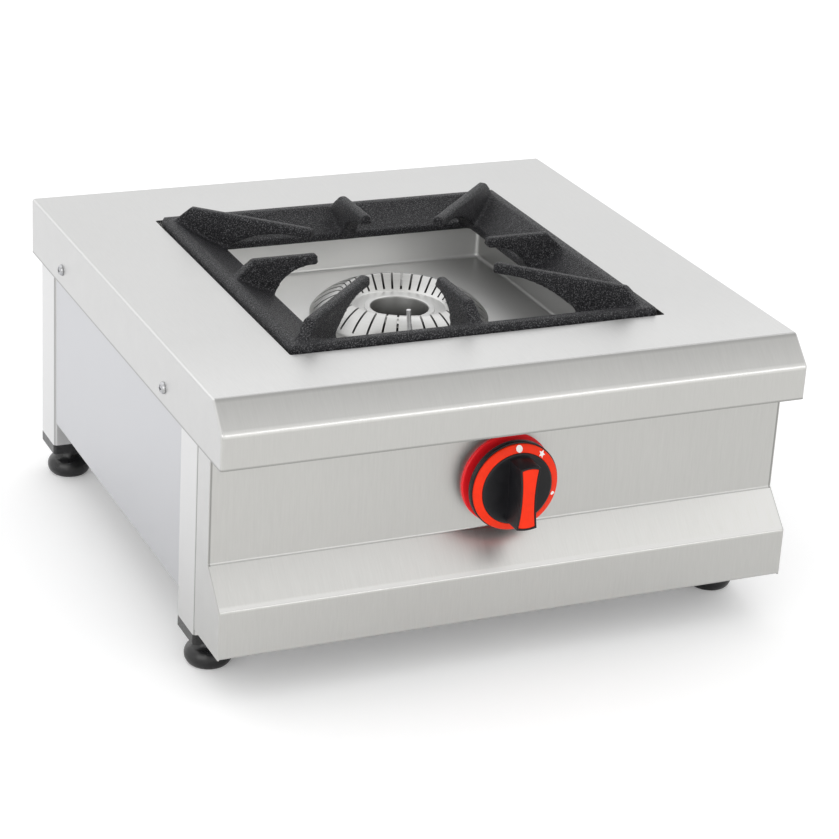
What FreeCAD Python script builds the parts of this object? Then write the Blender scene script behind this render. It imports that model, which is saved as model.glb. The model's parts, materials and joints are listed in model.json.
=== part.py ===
import FreeCAD, Part
import math
import os
from FreeCAD import Vector as V

# Single burner gas stove: sheet steel body on four levelling feet, a square
# cast pan grate over a spill basin, one slotted ring burner and one tap.
# Millimetres. Origin on the floor under the middle of the worktop, +Z up,
# the control panel faces -Y, the gas inlet faces +Y.

# Worktop
TOP_WIDTH = 400.0
TOP_DEPTH = 400.0
TOP_HEIGHT = 200.0
TOP_SHEET = 1.2
APRON_DROP = 40.0
NOSE_RUN = 17.0
NOSE_DROP = 17.0
TOP_BEND = 2.0
NOSE_BEND = 4.0
APRON_RETURN = 15.0
OPENING = 262.0
OPENING_CORNER = 1.5

# Casing
BODY_SHEET = 1.0
APRON_GAP = 1.0
PANEL_SETBACK = 24.0
LEDGE_DROP = 22.5
SKIRT_SETBACK = 2.0
SKIRT_BOTTOM = 33.0
SKIRT_RETURN = 18.0
PANEL_BEND = 1.5
CHEEK_DEPTH = 22.5
REAR_SETBACK = 16.5
POST_SIZE = 32.0
POST_WALL = 1.5
POST_CORNER = 2.5
POST_BOTTOM = 28.0
PAN_DEPTH = 12.0
PAN_RECESS = 1.0
PAN_BOTTOM = 45.0
PAN_GAP = 0.2
PAN_BEND = 2.2

# Apron screws
SCREW_R = 2.0
SCREW_HEAD_R = 4.0
SCREW_HEAD_H = 2.4
SCREW_HOLE_GAP = 0.2
SCREW_TAIL = 3.0
SCREW_INSET = 26.5
SCREW_DROP = 28.0
CROSS_LENGTH = 4.4
CROSS_WIDTH = 0.9
CROSS_DEPTH = 1.2
SCREW_NUT_AF = 7.0
SCREW_NUT_H = 3.2

# Levelling feet
PLUG_FLANGE = 7.0
PLUG_INSERT = 20.0
PLUG_FIT = 0.2
STUD_R = 4.0
STUD_FIT = 0.05
STUD_ABOVE_PLUG = 14.0
PAD_R = 15.5
PAD_BASE_R = 12.5
PAD_NECK_R = 9.0
PAD_BULGE_Z = 6.0
PAD_GAP = 0.3
PAD_STUD_FLOOR = 6.0

# Spill basin
BASIN_SHEET = 1.0
BASIN_HALF = 110.0
BASIN_FLOOR = 41.0
BASIN_CORNER = 3.0
BASIN_BEND = 2.5
LEDGE_DEPTH = 7.0
RECESS_LAP = 1.0
RECESS_FLANGE_SHARE = 0.26

# Pan grate
GRATE_GAP = 2.5
GRATE_STAND = 4.0
GRATE_EDGE = 2.5
GRATE_CREST = 8.0
GRATE_OVERHANG = 16.0
GRATE_LIP_DROP = 13.0
GRATE_LIP_H = 5.0
GRATE_SCOOP = 1.6
GRATE_CORNER = 6.0
GRATE_BACK_GAP = 1.0
FINGER_TOP = 15.0
FINGER_TOP_WIDTH = 7.0
FINGER_ROOT_WIDTH = 12.0
FINGER_TIP_H = 7.0
FINGER_TIP_GAP = 1.5
CORNER_TIP_EXTRA = 3.5
FINGER_SHOULDER = 13.0
FINGER_NOSE = 5.0
FINGER_ROUND = 1.2

# Burner
CROWN_R = 61.0
CROWN_BASE = 4.0
CROWN_EDGE = 3.5
CROWN_HOLE_R = 19.5
CROWN_LIP_R = 24.0
CROWN_LIP_H = 1.0
CROWN_DISH_H = 7.0
CROWN_DISH_R = 32.5
CROWN_CREST_R = 41.3
CROWN_CREST_H = 17.0
CROWN_WALL = 3.0
CROWN_SLEEVE = 2.5
CROWN_SLEEVE_DROP = 13.0
CROWN_SPIGOT = 5.0
CROWN_SPIGOT_WALL = 3.5
CROWN_FIT = 0.3
SLOT_COUNT = 36
SLOT_WIDTH = 1.5
SLOT_SEAT = 6.0
BOWL_R = 54.0
BOWL_WALL = 4.0
BOWL_TUBE_WALL = 3.5
BOWL_DEPTH = 46.0
BOWL_FLOOR = 4.0
BOWL_HOLE_GAP = 1.0
MIX_R = 14.0
MIX_WALL = 1.5
MIX_HEADROOM = 0.5
MIX_MOUTH_R = 17.5
MIX_FLARE_SHARE = 0.19
SOCKET_WALL = 3.0
SOCKET_SHARE = 0.32
STRAP_SHEET = 3.0
STRAP_WIDTH = 44.0
STRAP_GAP = 24.0
STRAP_FOOT = 16.0
BOLT_R = 2.5
BOLT_HEAD_AF = 8.0
BOLT_HEAD_H = 3.5
BOLT_REACH = 3.0
BOLT_FIT = 0.05

# Tap and injector
NECK_R = 9.0
NECK_GAP = 0.3
NECK_NUT_AF = 23.0
NECK_NUT_H = 4.0
NECK_PROUD = 0.5
TAP_FLANGE_R = 14.0
TAP_FLANGE_H = 4.0
TAP_BODY_R = 12.0
TAP_LENGTH = 36.0
TAP_PORT_R = 7.5
TAP_PORT_RISE = 1.5
TAP_INLET_REACH = 24.0
TAP_OUTLET_Y = 20.0
TAP_FIT = 0.06
PLUG_R = 8.0
PLUG_TAPER = 1.0
PLUG_LENGTH = 18.0
PLUG_BACK_WALL = 4.0
SPINDLE_R = 4.0
SPINDLE_TANG = 5.0
SPINDLE_TANG_LENGTH = 11.0
KNOB_PUSH = 4.0
MAGNET_R = 8.5
MAGNET_LENGTH = 16.0
MAGNET_RIM = 1.5
MAGNET_RIM_H = 4.0
LEAD_PORT = 2.0
ELBOW_R = 5.5
ELBOW_RISE = 1.0
ELBOW_CAP = 2.0
ELBOW_REACH = 16.0
JET_AF = 12.0
JET_HEX = 8.0
JET_NOSE_R = 4.0
JET_NOSE = 6.0
JET_HOLE_R = 0.8
JET_GAP = 8.0

# Control knob
BEZEL_R = 30.8
BEZEL_H = 2.0
BEZEL_HOLE_GAP = 1.5
BEZEL_LEDGE_GAP = 1.2
KNOB_R = 30.0
KNOB_GAP = 7.5
KNOB_SKIRT = 4.0
KNOB_WALL = 3.0
KNOB_DISC_R = 24.0
KNOB_DISC_RISE = 4.5
KNOB_DISH = 1.5
RING_EDGE = 1.5
KNOB_FRONT = 34.0
HUB_R = 9.0
KNOB_STOP_GAP = 0.5
GRIP_LENGTH = 41.0
GRIP_END_WIDTH = 14.0
GRIP_WAIST_WIDTH = 11.0
GRIP_BORDER = 1.2
INSERT_DEPTH = 1.2
INSERT_FIT = 0.1

# Gas supply
PIPE_R = 5.0
PIPE_WALL = 1.0
INLET_INSET = 77.8
PIPE_BEND = 25.0
PIPE_NUT_AF = 17.0
PIPE_NUT_H = 12.0
PIPE_FIT = 0.05
INLET_R = 10.48
INLET_BORE = 6.5
INLET_FLANGE_AF = 27.0
INLET_FLANGE_H = 6.0
INLET_TAIL_R = 8.5
INLET_TAIL = 12.0
INLET_NUT_H = 6.0
INLET_PROUD = 10.0
INLET_RELIEF = 2.0
INLET_RELIEF_DEPTH = 1.0
INLET_GAP = 0.3

# Thermocouple
PROBE_GAP = 5.6
PROBE_BEARING = 252.3
PROBE_R = 2.4
PROBE_TIP_R = 1.5
PROBE_TOP = 6.0
PROBE_BEND = 24.0
PROBE_LEAN = 6.0
PROBE_TAIL = 14.0
PROBE_NUT_AF = 8.0
PROBE_NUT_H = 3.0
LEAD_R = 1.25
LEAD_BEND = 10.0
LEAD_DROP = 28.0
LEAD_NUT_AF = 9.0
LEAD_NUT_H = 6.0

# Levels and faces that several pieces share
UNDERSIDE = TOP_HEIGHT - TOP_SHEET
HALF_WIDTH = TOP_WIDTH / 2
FRONT = -TOP_DEPTH / 2
BACK = TOP_DEPTH / 2
BODY_HALF = HALF_WIDTH - TOP_SHEET - APRON_GAP
PANEL_Y = FRONT + PANEL_SETBACK
PANEL_BACK = PANEL_Y + BODY_SHEET
SKIRT_Y = FRONT + SKIRT_SETBACK
FRONT_POST_Y = PANEL_Y + CHEEK_DEPTH
REAR_Y = BACK - REAR_SETBACK
REAR_POST_Y = REAR_Y - POST_SIZE
POST_X = BODY_HALF - POST_SIZE / 2
POST_PLACES = {
    "front_left": (-POST_X, FRONT_POST_Y + POST_SIZE / 2),
    "front_right": (POST_X, FRONT_POST_Y + POST_SIZE / 2),
    "rear_left": (-POST_X, REAR_POST_Y + POST_SIZE / 2),
    "rear_right": (POST_X, REAR_POST_Y + POST_SIZE / 2),
}
BASIN_Z = TOP_HEIGHT - BASIN_FLOOR
SEAT_Z = TOP_HEIGHT - LEDGE_DEPTH
RECESS_HALF = OPENING / 2 + RECESS_LAP
GRATE_HALF = OPENING / 2 - GRATE_GAP
GRATE_INNER_HALF = BASIN_HALF - GRATE_OVERHANG
CROWN_Z = BASIN_Z + CROWN_BASE
BOWL_Z = CROWN_Z - BOWL_DEPTH
MIX_Z = BASIN_Z - BASIN_SHEET - MIX_HEADROOM - max(MIX_MOUTH_R, MIX_R + SOCKET_WALL)
SLEEVE_R = CROWN_HOLE_R + CROWN_SLEEVE
STRAP_TOP = BOWL_Z
STRAP_HALF = BOWL_R + STRAP_GAP
PORT_TOP = MIX_Z - ELBOW_R - ELBOW_RISE
KNOB_HEIGHT = PORT_TOP - TAP_PORT_RISE - TAP_BODY_R
LEDGE_TOP = KNOB_HEIGHT - BEZEL_R - BEZEL_LEDGE_GAP
LEAD_HEIGHT = KNOB_HEIGHT - LEAD_DROP
TAP_BACK = PANEL_BACK + TAP_LENGTH
TAP_FRONT = PANEL_Y - NECK_NUT_H - NECK_PROUD
OUTLET_Y = PANEL_BACK + TAP_OUTLET_Y
MIX_MOUTH_Y = OUTLET_Y + ELBOW_REACH + JET_HEX + JET_NOSE + JET_GAP
MIX_RUN = -BOWL_R - MIX_MOUTH_Y
MIX_FLARE = MIX_RUN * MIX_FLARE_SHARE
SOCKET_LENGTH = MIX_RUN * SOCKET_SHARE
MAGNET_END = TAP_BACK + MAGNET_LENGTH
KNOB_BACK = PANEL_Y - BEZEL_H - KNOB_GAP
SHOULDER_Y = KNOB_BACK - KNOB_SKIRT
DISC_Y = SHOULDER_Y - KNOB_DISC_RISE
KNOB_FACE = PANEL_Y - KNOB_FRONT
HUB_END = TAP_FRONT - KNOB_PUSH - KNOB_STOP_GAP
REAR_PAN_OUT = REAR_Y - PAN_RECESS
REAR_PAN_IN = REAR_PAN_OUT - BODY_SHEET
RECESS_FLANGE = (REAR_PAN_OUT - PAN_DEPTH - RECESS_HALF) * RECESS_FLANGE_SHARE
SCREW_YS = (FRONT_POST_Y + POST_SIZE + SCREW_INSET, REAR_POST_Y - SCREW_INSET)
INLET_END = BACK + INLET_PROUD
PIPE_X = BODY_HALF - INLET_INSET
PROBE_X = (CROWN_R + PROBE_GAP) * math.cos(math.radians(PROBE_BEARING))
PROBE_Y = (CROWN_R + PROBE_GAP) * math.sin(math.radians(PROBE_BEARING))


def box(low, high):
    """Block between two corner points."""
    size = V(*high) - V(*low)
    return Part.makeBox(size.x, size.y, size.z, V(*low))


def rod(radius, start, end):
    """Round bar from one point to another."""
    run = V(*end) - V(*start)
    return Part.makeCylinder(radius, run.Length, V(*start), run)


def outline(start, *steps):
    """Closed outline; a step is an end point, or a middle and an end of an arc."""
    edges = []
    here = V(*start)
    for step in steps + (start,):
        if isinstance(step[0], tuple):
            middle, end = V(*step[0]), V(*step[1])
            edges.append(Part.Arc(here, middle, end).toShape())
        else:
            end = V(*step)
            edges.append(Part.makeLine(here, end))
        here = end
    return Part.Face(Part.Wire(edges))


def flat(points, plane):
    """Points of a drawing set into the plane named xy, xz or yz."""
    place = {
        "xy": lambda a, b: (a, b, 0.0),
        "xz": lambda a, b: (a, 0.0, b),
        "yz": lambda a, b: (0.0, a, b),
    }[plane]
    steps = []
    for point in points:
        if isinstance(point[0], tuple):
            steps.append((place(*point[0]), place(*point[1])))
        else:
            steps.append(place(*point))
    return steps


def drawn(points, plane):
    """Face of a drawing whose points lie in a plane."""
    steps = flat(points, plane)
    return outline(steps[0], *steps[1:])


def lathe(points):
    """Solid turned about Z from an outline of radius and height."""
    return drawn(points, "xz").revolve(V(0, 0, 0), V(0, 0, 1), 360)


def turned(points, x=0.0, z=KNOB_HEIGHT):
    """Solid turned about a line along Y from an outline of radius and Y."""
    solid = drawn(points, "xy").revolve(V(0, 0, 0), V(0, 1, 0), 360)
    solid.translate(V(x, 0, z))
    return solid


def hexagon(across, start, end, bore):
    """Hexagon nut from one point to another, with a round bore."""
    run = V(*end) - V(*start)
    corner = across / math.sqrt(3)
    corners = [
        V(corner * math.cos(math.radians(60 * k)), corner * math.sin(math.radians(60 * k)), 0)
        for k in range(7)
    ]
    nut = Part.Face(Part.makePolygon(corners)).extrude(V(0, 0, run.Length))
    rim = lathe([(0, 0), (across / 2 + 0.2, 0), (corner, 0.6), (corner, run.Length - 0.6),
                 (across / 2 + 0.2, run.Length), (0, run.Length)])
    nut = nut.common(rim)
    if bore > 0:
        nut = nut.cut(Part.makeCylinder(bore, run.Length))
    nut.Placement = FreeCAD.Placement(V(*start), FreeCAD.Rotation(V(0, 0, 1), run))
    return nut


def square_prism(half, low, high, corner):
    """Upright square prism about the Z axis with rounded corners."""
    block = box((-half, -half, low), (half, half, high))
    if corner <= 0:
        return block
    upright = [e for e in block.Edges if abs(e.Vertexes[0].Z - e.Vertexes[1].Z) > 1e-6]
    return block.makeFillet(corner, upright)


def folded(points, plane, sheet, bend, direction):
    """Strip of sheet that follows an open outline, with rounded bends.

    The sheet lies to the right of the outline, seen against the extrusion.
    """
    corners = [V(*p) for p in flat(points, plane)]
    edges = []
    here = corners[0]
    for before, corner, after in zip(corners, corners[1:], corners[2:]):
        back = (before - corner).normalize()
        ahead = (after - corner).normalize()
        half_angle = back.getAngle(ahead) / 2
        reach = bend / math.tan(half_angle)
        middle = (back + ahead).normalize()
        centre = corner + middle * (bend / math.sin(half_angle))
        enter = corner + back * reach
        leave = corner + ahead * reach
        edges.append(Part.makeLine(here, enter))
        edges.append(Part.Arc(enter, centre - middle * bend, leave).toShape())
        here = leave
    edges.append(Part.makeLine(here, corners[-1]))
    face = Part.Wire(edges).makeOffset2D(-sheet, 0, True, True)
    return face.extrude(V(*direction))


def single(shape):
    """One clean solid from a union."""
    shape = shape.removeSplitter()
    return shape.Solids[0] if len(shape.Solids) == 1 else shape


def lies_along_x(edge, crease):
    """Whether an edge is one of the long edges of the bend below the nose."""
    ends = [v.Point for v in edge.Vertexes]
    long_way = abs(ends[0].x - ends[-1].x) > TOP_WIDTH / 2
    return long_way and max(abs(p.z - crease) for p in ends) < NOSE_BEND


def nose_block(inset):
    """Worktop form drawn in by a sheet thickness, open below when drawn in."""
    slope = math.hypot(NOSE_RUN, NOSE_DROP)
    crease = TOP_HEIGHT - NOSE_DROP - inset * (slope - NOSE_DROP) / NOSE_RUN
    shoulder = FRONT + NOSE_RUN + inset * (slope - NOSE_RUN) / NOSE_DROP
    low = TOP_HEIGHT - APRON_DROP - inset
    side = drawn([
        (FRONT + inset, low),
        (FRONT + inset, crease),
        (shoulder, TOP_HEIGHT - inset),
        (BACK - inset, TOP_HEIGHT - inset),
        (BACK - inset, low),
    ], "yz")
    width = TOP_WIDTH - 2 * inset
    side.translate(V(-width / 2, 0, 0))
    block = side.extrude(V(width, 0, 0))
    fold = [e for e in block.Edges if all(abs(v.Z - crease) < 1e-6 for v in e.Vertexes)]
    block = block.makeFillet(NOSE_BEND - inset, fold)
    bends = [e for e in block.Edges if max(v.Z for v in e.Vertexes) > low + 1e-6
             and not lies_along_x(e, crease)]
    return block.makeFillet(TOP_BEND - inset * 0.9, bends)


def apron_screw_holes():
    """Cutters for the screws through aprons and side panels."""
    height = TOP_HEIGHT - SCREW_DROP
    reach = HALF_WIDTH + 1.0
    bars = [rod(SCREW_R + SCREW_HOLE_GAP, (-reach, y, height), (reach, y, height))
            for y in SCREW_YS]
    return bars[0].multiFuse(bars[1:])


def top_plate():
    """Folded worktop with a sloped nose, aprons all round and a square opening."""
    low = TOP_HEIGHT - APRON_DROP
    plate = nose_block(0.0).cut(nose_block(TOP_SHEET))
    lip = box((-HALF_WIDTH + TOP_SHEET, FRONT + TOP_SHEET / 2, low),
              (HALF_WIDTH - TOP_SHEET, FRONT + APRON_RETURN, low + TOP_SHEET))
    plate = plate.fuse(lip)
    opening = square_prism(OPENING / 2, UNDERSIDE - 1, TOP_HEIGHT + 1, OPENING_CORNER)
    return single(plate.cut(opening).cut(apron_screw_holes()))


def front_panel():
    """Control panel, sloped ledge and skirt folded from one sheet, with end cheeks."""
    ledge_low = LEDGE_TOP - LEDGE_DROP
    face = [(PANEL_Y, UNDERSIDE), (PANEL_Y, LEDGE_TOP), (SKIRT_Y, ledge_low), (SKIRT_Y, SKIRT_BOTTOM)]
    path = face + [(SKIRT_Y + SKIRT_RETURN, SKIRT_BOTTOM)]
    sheet = folded(path, "yz", BODY_SHEET, PANEL_BEND, (2 * BODY_HALF, 0, 0))
    sheet.translate(V(-BODY_HALF, 0, 0))
    panel = sheet
    rear = FRONT_POST_Y - PAN_GAP
    for side in (-1, 1):
        cheek = drawn(face + [(rear, SKIRT_BOTTOM), (rear, UNDERSIDE)], "yz")
        cheek = cheek.extrude(V(BODY_SHEET, 0, 0))
        start = BODY_HALF - BODY_SHEET if side > 0 else -BODY_HALF
        cheek.translate(V(start, 0, 0))
        flange_x = sorted((side * BODY_HALF, side * (BODY_HALF - POST_SIZE / 2)))
        flange = box((flange_x[0], rear - BODY_SHEET, SKIRT_BOTTOM),
                     (flange_x[1], rear, UNDERSIDE))
        panel = panel.fuse([cheek, flange])
    hole = rod(NECK_R + NECK_GAP, (0, PANEL_Y - 2, KNOB_HEIGHT), (0, PANEL_BACK + 2, KNOB_HEIGHT))
    panel = single(panel.cut(hole))
    bends = [e for e in panel.Edges
             if all(abs(abs(v.X) - BODY_HALF) < 1e-6 and abs(v.Y - rear) < 1e-6 for v in e.Vertexes)]
    return panel.makeFillet(PANEL_BEND, bends)


def bent_block(low, high, axis, place, bend):
    """Block with the upright and lower edges round one of its faces bent over."""
    block = box(low, high)
    bends = []
    for edge in block.Edges:
        ends = [v.Point for v in edge.Vertexes]
        on_face = all(abs(p[axis] - place) < 1e-6 for p in ends)
        if on_face and min(p.z for p in ends) < low[2] + 1e-6:
            bends.append(edge)
    return block.makeFillet(bend, bends)


def sheet_pan(low, high, open_side):
    """Flat tray of body sheet: a face with four folded edges, open to one side."""
    inner_low = [low[k] + BODY_SHEET for k in range(3)]
    inner_high = [high[k] - BODY_SHEET for k in range(3)]
    axis, sign = open_side
    face = low[axis] if sign > 0 else high[axis]
    if sign > 0:
        inner_high[axis] = high[axis] + 1
    else:
        inner_low[axis] = low[axis] - 1
    outer = bent_block(low, high, axis, face, PAN_BEND)
    return outer.cut(bent_block(inner_low, inner_high, axis, face + sign * BODY_SHEET, PAN_BEND - BODY_SHEET))


def side_panel(side):
    """Side tray between the front and rear posts."""
    outer = BODY_HALF - PAN_RECESS
    inner = outer - PAN_DEPTH
    x_low, x_high = sorted((side * outer, side * inner))
    low = (x_low, FRONT_POST_Y + POST_SIZE + PAN_GAP, PAN_BOTTOM)
    high = (x_high, REAR_POST_Y - PAN_GAP, UNDERSIDE)
    return single(sheet_pan(low, high, (0, -side)).cut(apron_screw_holes()))


def rear_panel():
    """Rear tray between the rear posts, pierced for the gas inlet."""
    reach = POST_X - POST_SIZE / 2 - PAN_GAP
    tray = sheet_pan((-reach, REAR_PAN_OUT - PAN_DEPTH, PAN_BOTTOM),
                     (reach, REAR_PAN_OUT, UNDERSIDE), (1, -1))
    hole = rod(INLET_R + INLET_GAP, (PIPE_X, REAR_PAN_IN - 2, KNOB_HEIGHT),
               (PIPE_X, REAR_PAN_OUT + 2, KNOB_HEIGHT))
    return single(tray.cut(hole))


def corner_post(place):
    """Square tube that runs from a foot plug up to the worktop."""
    half = POST_SIZE / 2
    tube = square_prism(half, POST_BOTTOM, UNDERSIDE, POST_CORNER)
    bore = square_prism(half - POST_WALL, POST_BOTTOM, UNDERSIDE, POST_CORNER / 2)
    tube = tube.cut(bore)
    tube.translate(V(place[0], place[1], 0))
    return tube


def foot_plug(place):
    """Square plug pressed into a post, drilled for the foot's stud."""
    half = POST_SIZE / 2
    flange = square_prism(half, POST_BOTTOM - PLUG_FLANGE, POST_BOTTOM, POST_CORNER)
    stem = square_prism(half - POST_WALL - PLUG_FIT, POST_BOTTOM, POST_BOTTOM + PLUG_INSERT,
                        POST_CORNER / 2)
    plug = flange.fuse(stem).cut(rod(STUD_R + STUD_FIT, (0, 0, 0), (0, 0, TOP_HEIGHT)))
    plug.translate(V(place[0], place[1], 0))
    return single(plug)


def foot_stud(place):
    """Steel stud between a foot's pad and its plug."""
    top = POST_BOTTOM + PLUG_INSERT + STUD_ABOVE_PLUG
    stud = lathe([(0, PAD_STUD_FLOOR), (STUD_R, PAD_STUD_FLOOR), (STUD_R, top - 1),
                  (STUD_R - 1, top), (0, top)])
    stud.translate(V(place[0], place[1], 0))
    return stud


def foot_pad(place):
    """Moulded pad with a bulged base and a waisted neck."""
    top = POST_BOTTOM - PLUG_FLANGE - PAD_GAP
    waist = (PAD_R + PAD_NECK_R) / 2 - 1.4
    pad = lathe([
        (0, 0), (PAD_BASE_R, 0),
        ((PAD_R, PAD_BULGE_Z), (PAD_BASE_R, 2 * PAD_BULGE_Z)),
        ((waist, 2 * PAD_BULGE_Z + 1.4), (PAD_NECK_R, top - 2)),
        (PAD_NECK_R, top), (0, top),
    ])
    pad = pad.cut(rod(STUD_R + STUD_FIT, (0, 0, PAD_STUD_FLOOR), (0, 0, top + 1)))
    pad.translate(V(place[0], place[1], 0))
    return pad


def apron_screw(side, y):
    """Pan head screw with a cross recess, driven in through a side apron."""
    tail = BODY_HALF - PAN_RECESS - BODY_SHEET - SCREW_NUT_H - SCREW_TAIL
    neck = HALF_WIDTH
    top = HALF_WIDTH + SCREW_HEAD_H
    screw = lathe([(0, tail), (SCREW_R, tail), (SCREW_R, neck), (SCREW_HEAD_R, neck),
                   ((SCREW_HEAD_R * 0.8, neck + SCREW_HEAD_H * 0.75), (0, top))])
    for turn in (0, 90):
        arm = box((-CROSS_LENGTH / 2, -CROSS_WIDTH / 2, top - CROSS_DEPTH),
                  (CROSS_LENGTH / 2, CROSS_WIDTH / 2, top + 1))
        arm.rotate(V(0, 0, 0), V(0, 0, 1), turn)
        screw = screw.cut(arm)
    screw.Placement = FreeCAD.Placement(
        V(0, y, TOP_HEIGHT - SCREW_DROP), FreeCAD.Rotation(V(0, 0, 1), V(side, 0, 0)))
    return screw


def apron_nut(side, y):
    """Hexagon nut behind a side panel."""
    height = TOP_HEIGHT - SCREW_DROP
    face = BODY_HALF - PAN_RECESS - BODY_SHEET
    return hexagon(SCREW_NUT_AF, (side * face, y, height),
                   (side * (face - SCREW_NUT_H), y, height), SCREW_R + STUD_FIT)


def floor_bent(prism, bend):
    """Prism with the edges round its underside bent over."""
    low = prism.BoundBox.ZMin
    return prism.makeFillet(bend, [e for e in prism.Edges if e.BoundBox.ZMax < low + 1e-3])


def spill_basin():
    """Square pan under the grate, stepped to a seat and a flange under the worktop."""
    sheet = BASIN_SHEET
    well = floor_bent(square_prism(BASIN_HALF + sheet, BASIN_Z - sheet, SEAT_Z, BASIN_CORNER + sheet),
                      BASIN_BEND + sheet)
    seat = square_prism(RECESS_HALF + sheet, SEAT_Z - sheet, UNDERSIDE, OPENING_CORNER + sheet)
    flange = square_prism(RECESS_HALF + RECESS_FLANGE, UNDERSIDE - sheet, UNDERSIDE,
                          OPENING_CORNER + sheet)
    pan = well.fuse([seat, flange])
    pan = pan.cut(floor_bent(square_prism(BASIN_HALF, BASIN_Z, UNDERSIDE + 1, BASIN_CORNER), BASIN_BEND))
    pan = pan.cut(square_prism(RECESS_HALF, SEAT_Z, UNDERSIDE + 1, OPENING_CORNER))
    pan = pan.cut(rod(BOWL_R + BOWL_HOLE_GAP, (0, 0, BASIN_Z - 5), (0, 0, BASIN_Z + 5)))
    probe = rod(PROBE_R + PIPE_FIT, (PROBE_X, PROBE_Y, BASIN_Z - 5), (PROBE_X, PROBE_Y, BASIN_Z + 5))
    return single(pan.cut(probe))


def grate_side():
    """One mitred side of the grate: an upright rim and a hollow slope to an inner lip."""
    half = GRATE_HALF
    crest = TOP_HEIGHT + GRATE_STAND
    lip = TOP_HEIGHT - GRATE_LIP_DROP
    lip_top = lip + GRATE_LIP_H
    inner = GRATE_INNER_HALF
    slope_out = half - GRATE_CREST
    middle = ((slope_out + inner) / 2 - GRATE_SCOOP / 2, (crest + lip_top) / 2 - GRATE_SCOOP)
    hang = BASIN_HALF - GRATE_BACK_GAP
    face = drawn([
        (half, SEAT_Z), (half, crest - GRATE_EDGE), (half - GRATE_EDGE, crest), (slope_out, crest),
        (middle, (inner, lip_top)),
        (inner, lip), (hang - GRATE_LIP_DROP + LEDGE_DEPTH, lip), (hang, SEAT_Z),
    ], "xz")
    face.translate(V(0, -half, 0))
    bar = face.extrude(V(0, 2 * half, 0))
    far = half + 1
    wedge = drawn([(0, 0), (far, -far), (far, far)], "xy")
    wedge.translate(V(0, 0, lip - 1))
    return bar.common(wedge.extrude(V(0, 0, crest - lip + 2)))


def grate_finger(tip, spread):
    """Arched finger along +X, thicker at its foot, with a flat top for pans.

    The spread is 1 towards a side of the frame and the square root of 2 towards a corner,
    where the foot also stays half its width inside the basin's corner.
    """
    corner_room = FINGER_ROOT_WIDTH / 2 if spread > 1 else 0.0
    root = GRATE_INNER_HALF * spread
    rim = (GRATE_HALF - GRATE_CREST) * spread
    hang = (BASIN_HALF - GRATE_BACK_GAP) * spread - corner_room
    foot = hang - (GRATE_LIP_DROP - LEDGE_DEPTH) * spread
    top = TOP_HEIGHT + FINGER_TOP
    crest = TOP_HEIGHT + GRATE_STAND
    lip = TOP_HEIGHT - GRATE_LIP_DROP
    under = top - FINGER_TIP_H
    start = tip + FINGER_NOSE
    bow = (start + (root - start) * 0.62, under - (under - lip) * 0.27)
    face = drawn([
        (tip, under + FINGER_ROUND), (tip, top - FINGER_ROUND), (tip + FINGER_ROUND, top),
        (rim - FINGER_SHOULDER, top), (rim, crest - 1), (rim, SEAT_Z + 1), (hang, SEAT_Z + 1),
        (foot, lip + 0.5), (root, lip + 0.5),
        (bow, (start, under)), (tip + FINGER_ROUND, under),
    ], "xz")
    face.translate(V(0, -FINGER_ROOT_WIDTH, 0))
    web = face.extrude(V(0, 2 * FINGER_ROOT_WIDTH, 0))
    section = drawn([
        (-FINGER_ROOT_WIDTH / 2, lip), (FINGER_ROOT_WIDTH / 2, lip),
        (FINGER_TOP_WIDTH / 2, top - FINGER_ROUND), (FINGER_TOP_WIDTH / 2 - FINGER_ROUND, top),
        (FINGER_ROUND - FINGER_TOP_WIDTH / 2, top), (-FINGER_TOP_WIDTH / 2, top - FINGER_ROUND),
    ], "yz")
    return web.common(section.extrude(V(2 * rim, 0, 0)))


def pan_grate():
    """Cast grate: a square frame with four side fingers and four corner fingers."""
    side = grate_side()
    tip = CROWN_R + FINGER_TIP_GAP
    middle_finger = grate_finger(tip, 1.0)
    corner_finger = grate_finger(tip + CORNER_TIP_EXTRA, math.sqrt(2))
    pieces = []
    for quarter in range(4):
        for piece, turn in ((side, 0), (middle_finger, 0), (corner_finger, 45)):
            copy = piece.copy()
            copy.rotate(V(0, 0, 0), V(0, 0, 1), 90 * quarter + turn)
            pieces.append(copy)
    grate = pieces[0].multiFuse(pieces[1:])
    bounds = square_prism(GRATE_HALF, SEAT_Z - GRATE_LIP_DROP, TOP_HEIGHT + FINGER_TOP + 1, GRATE_CORNER)
    return single(grate.common(bounds))


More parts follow.
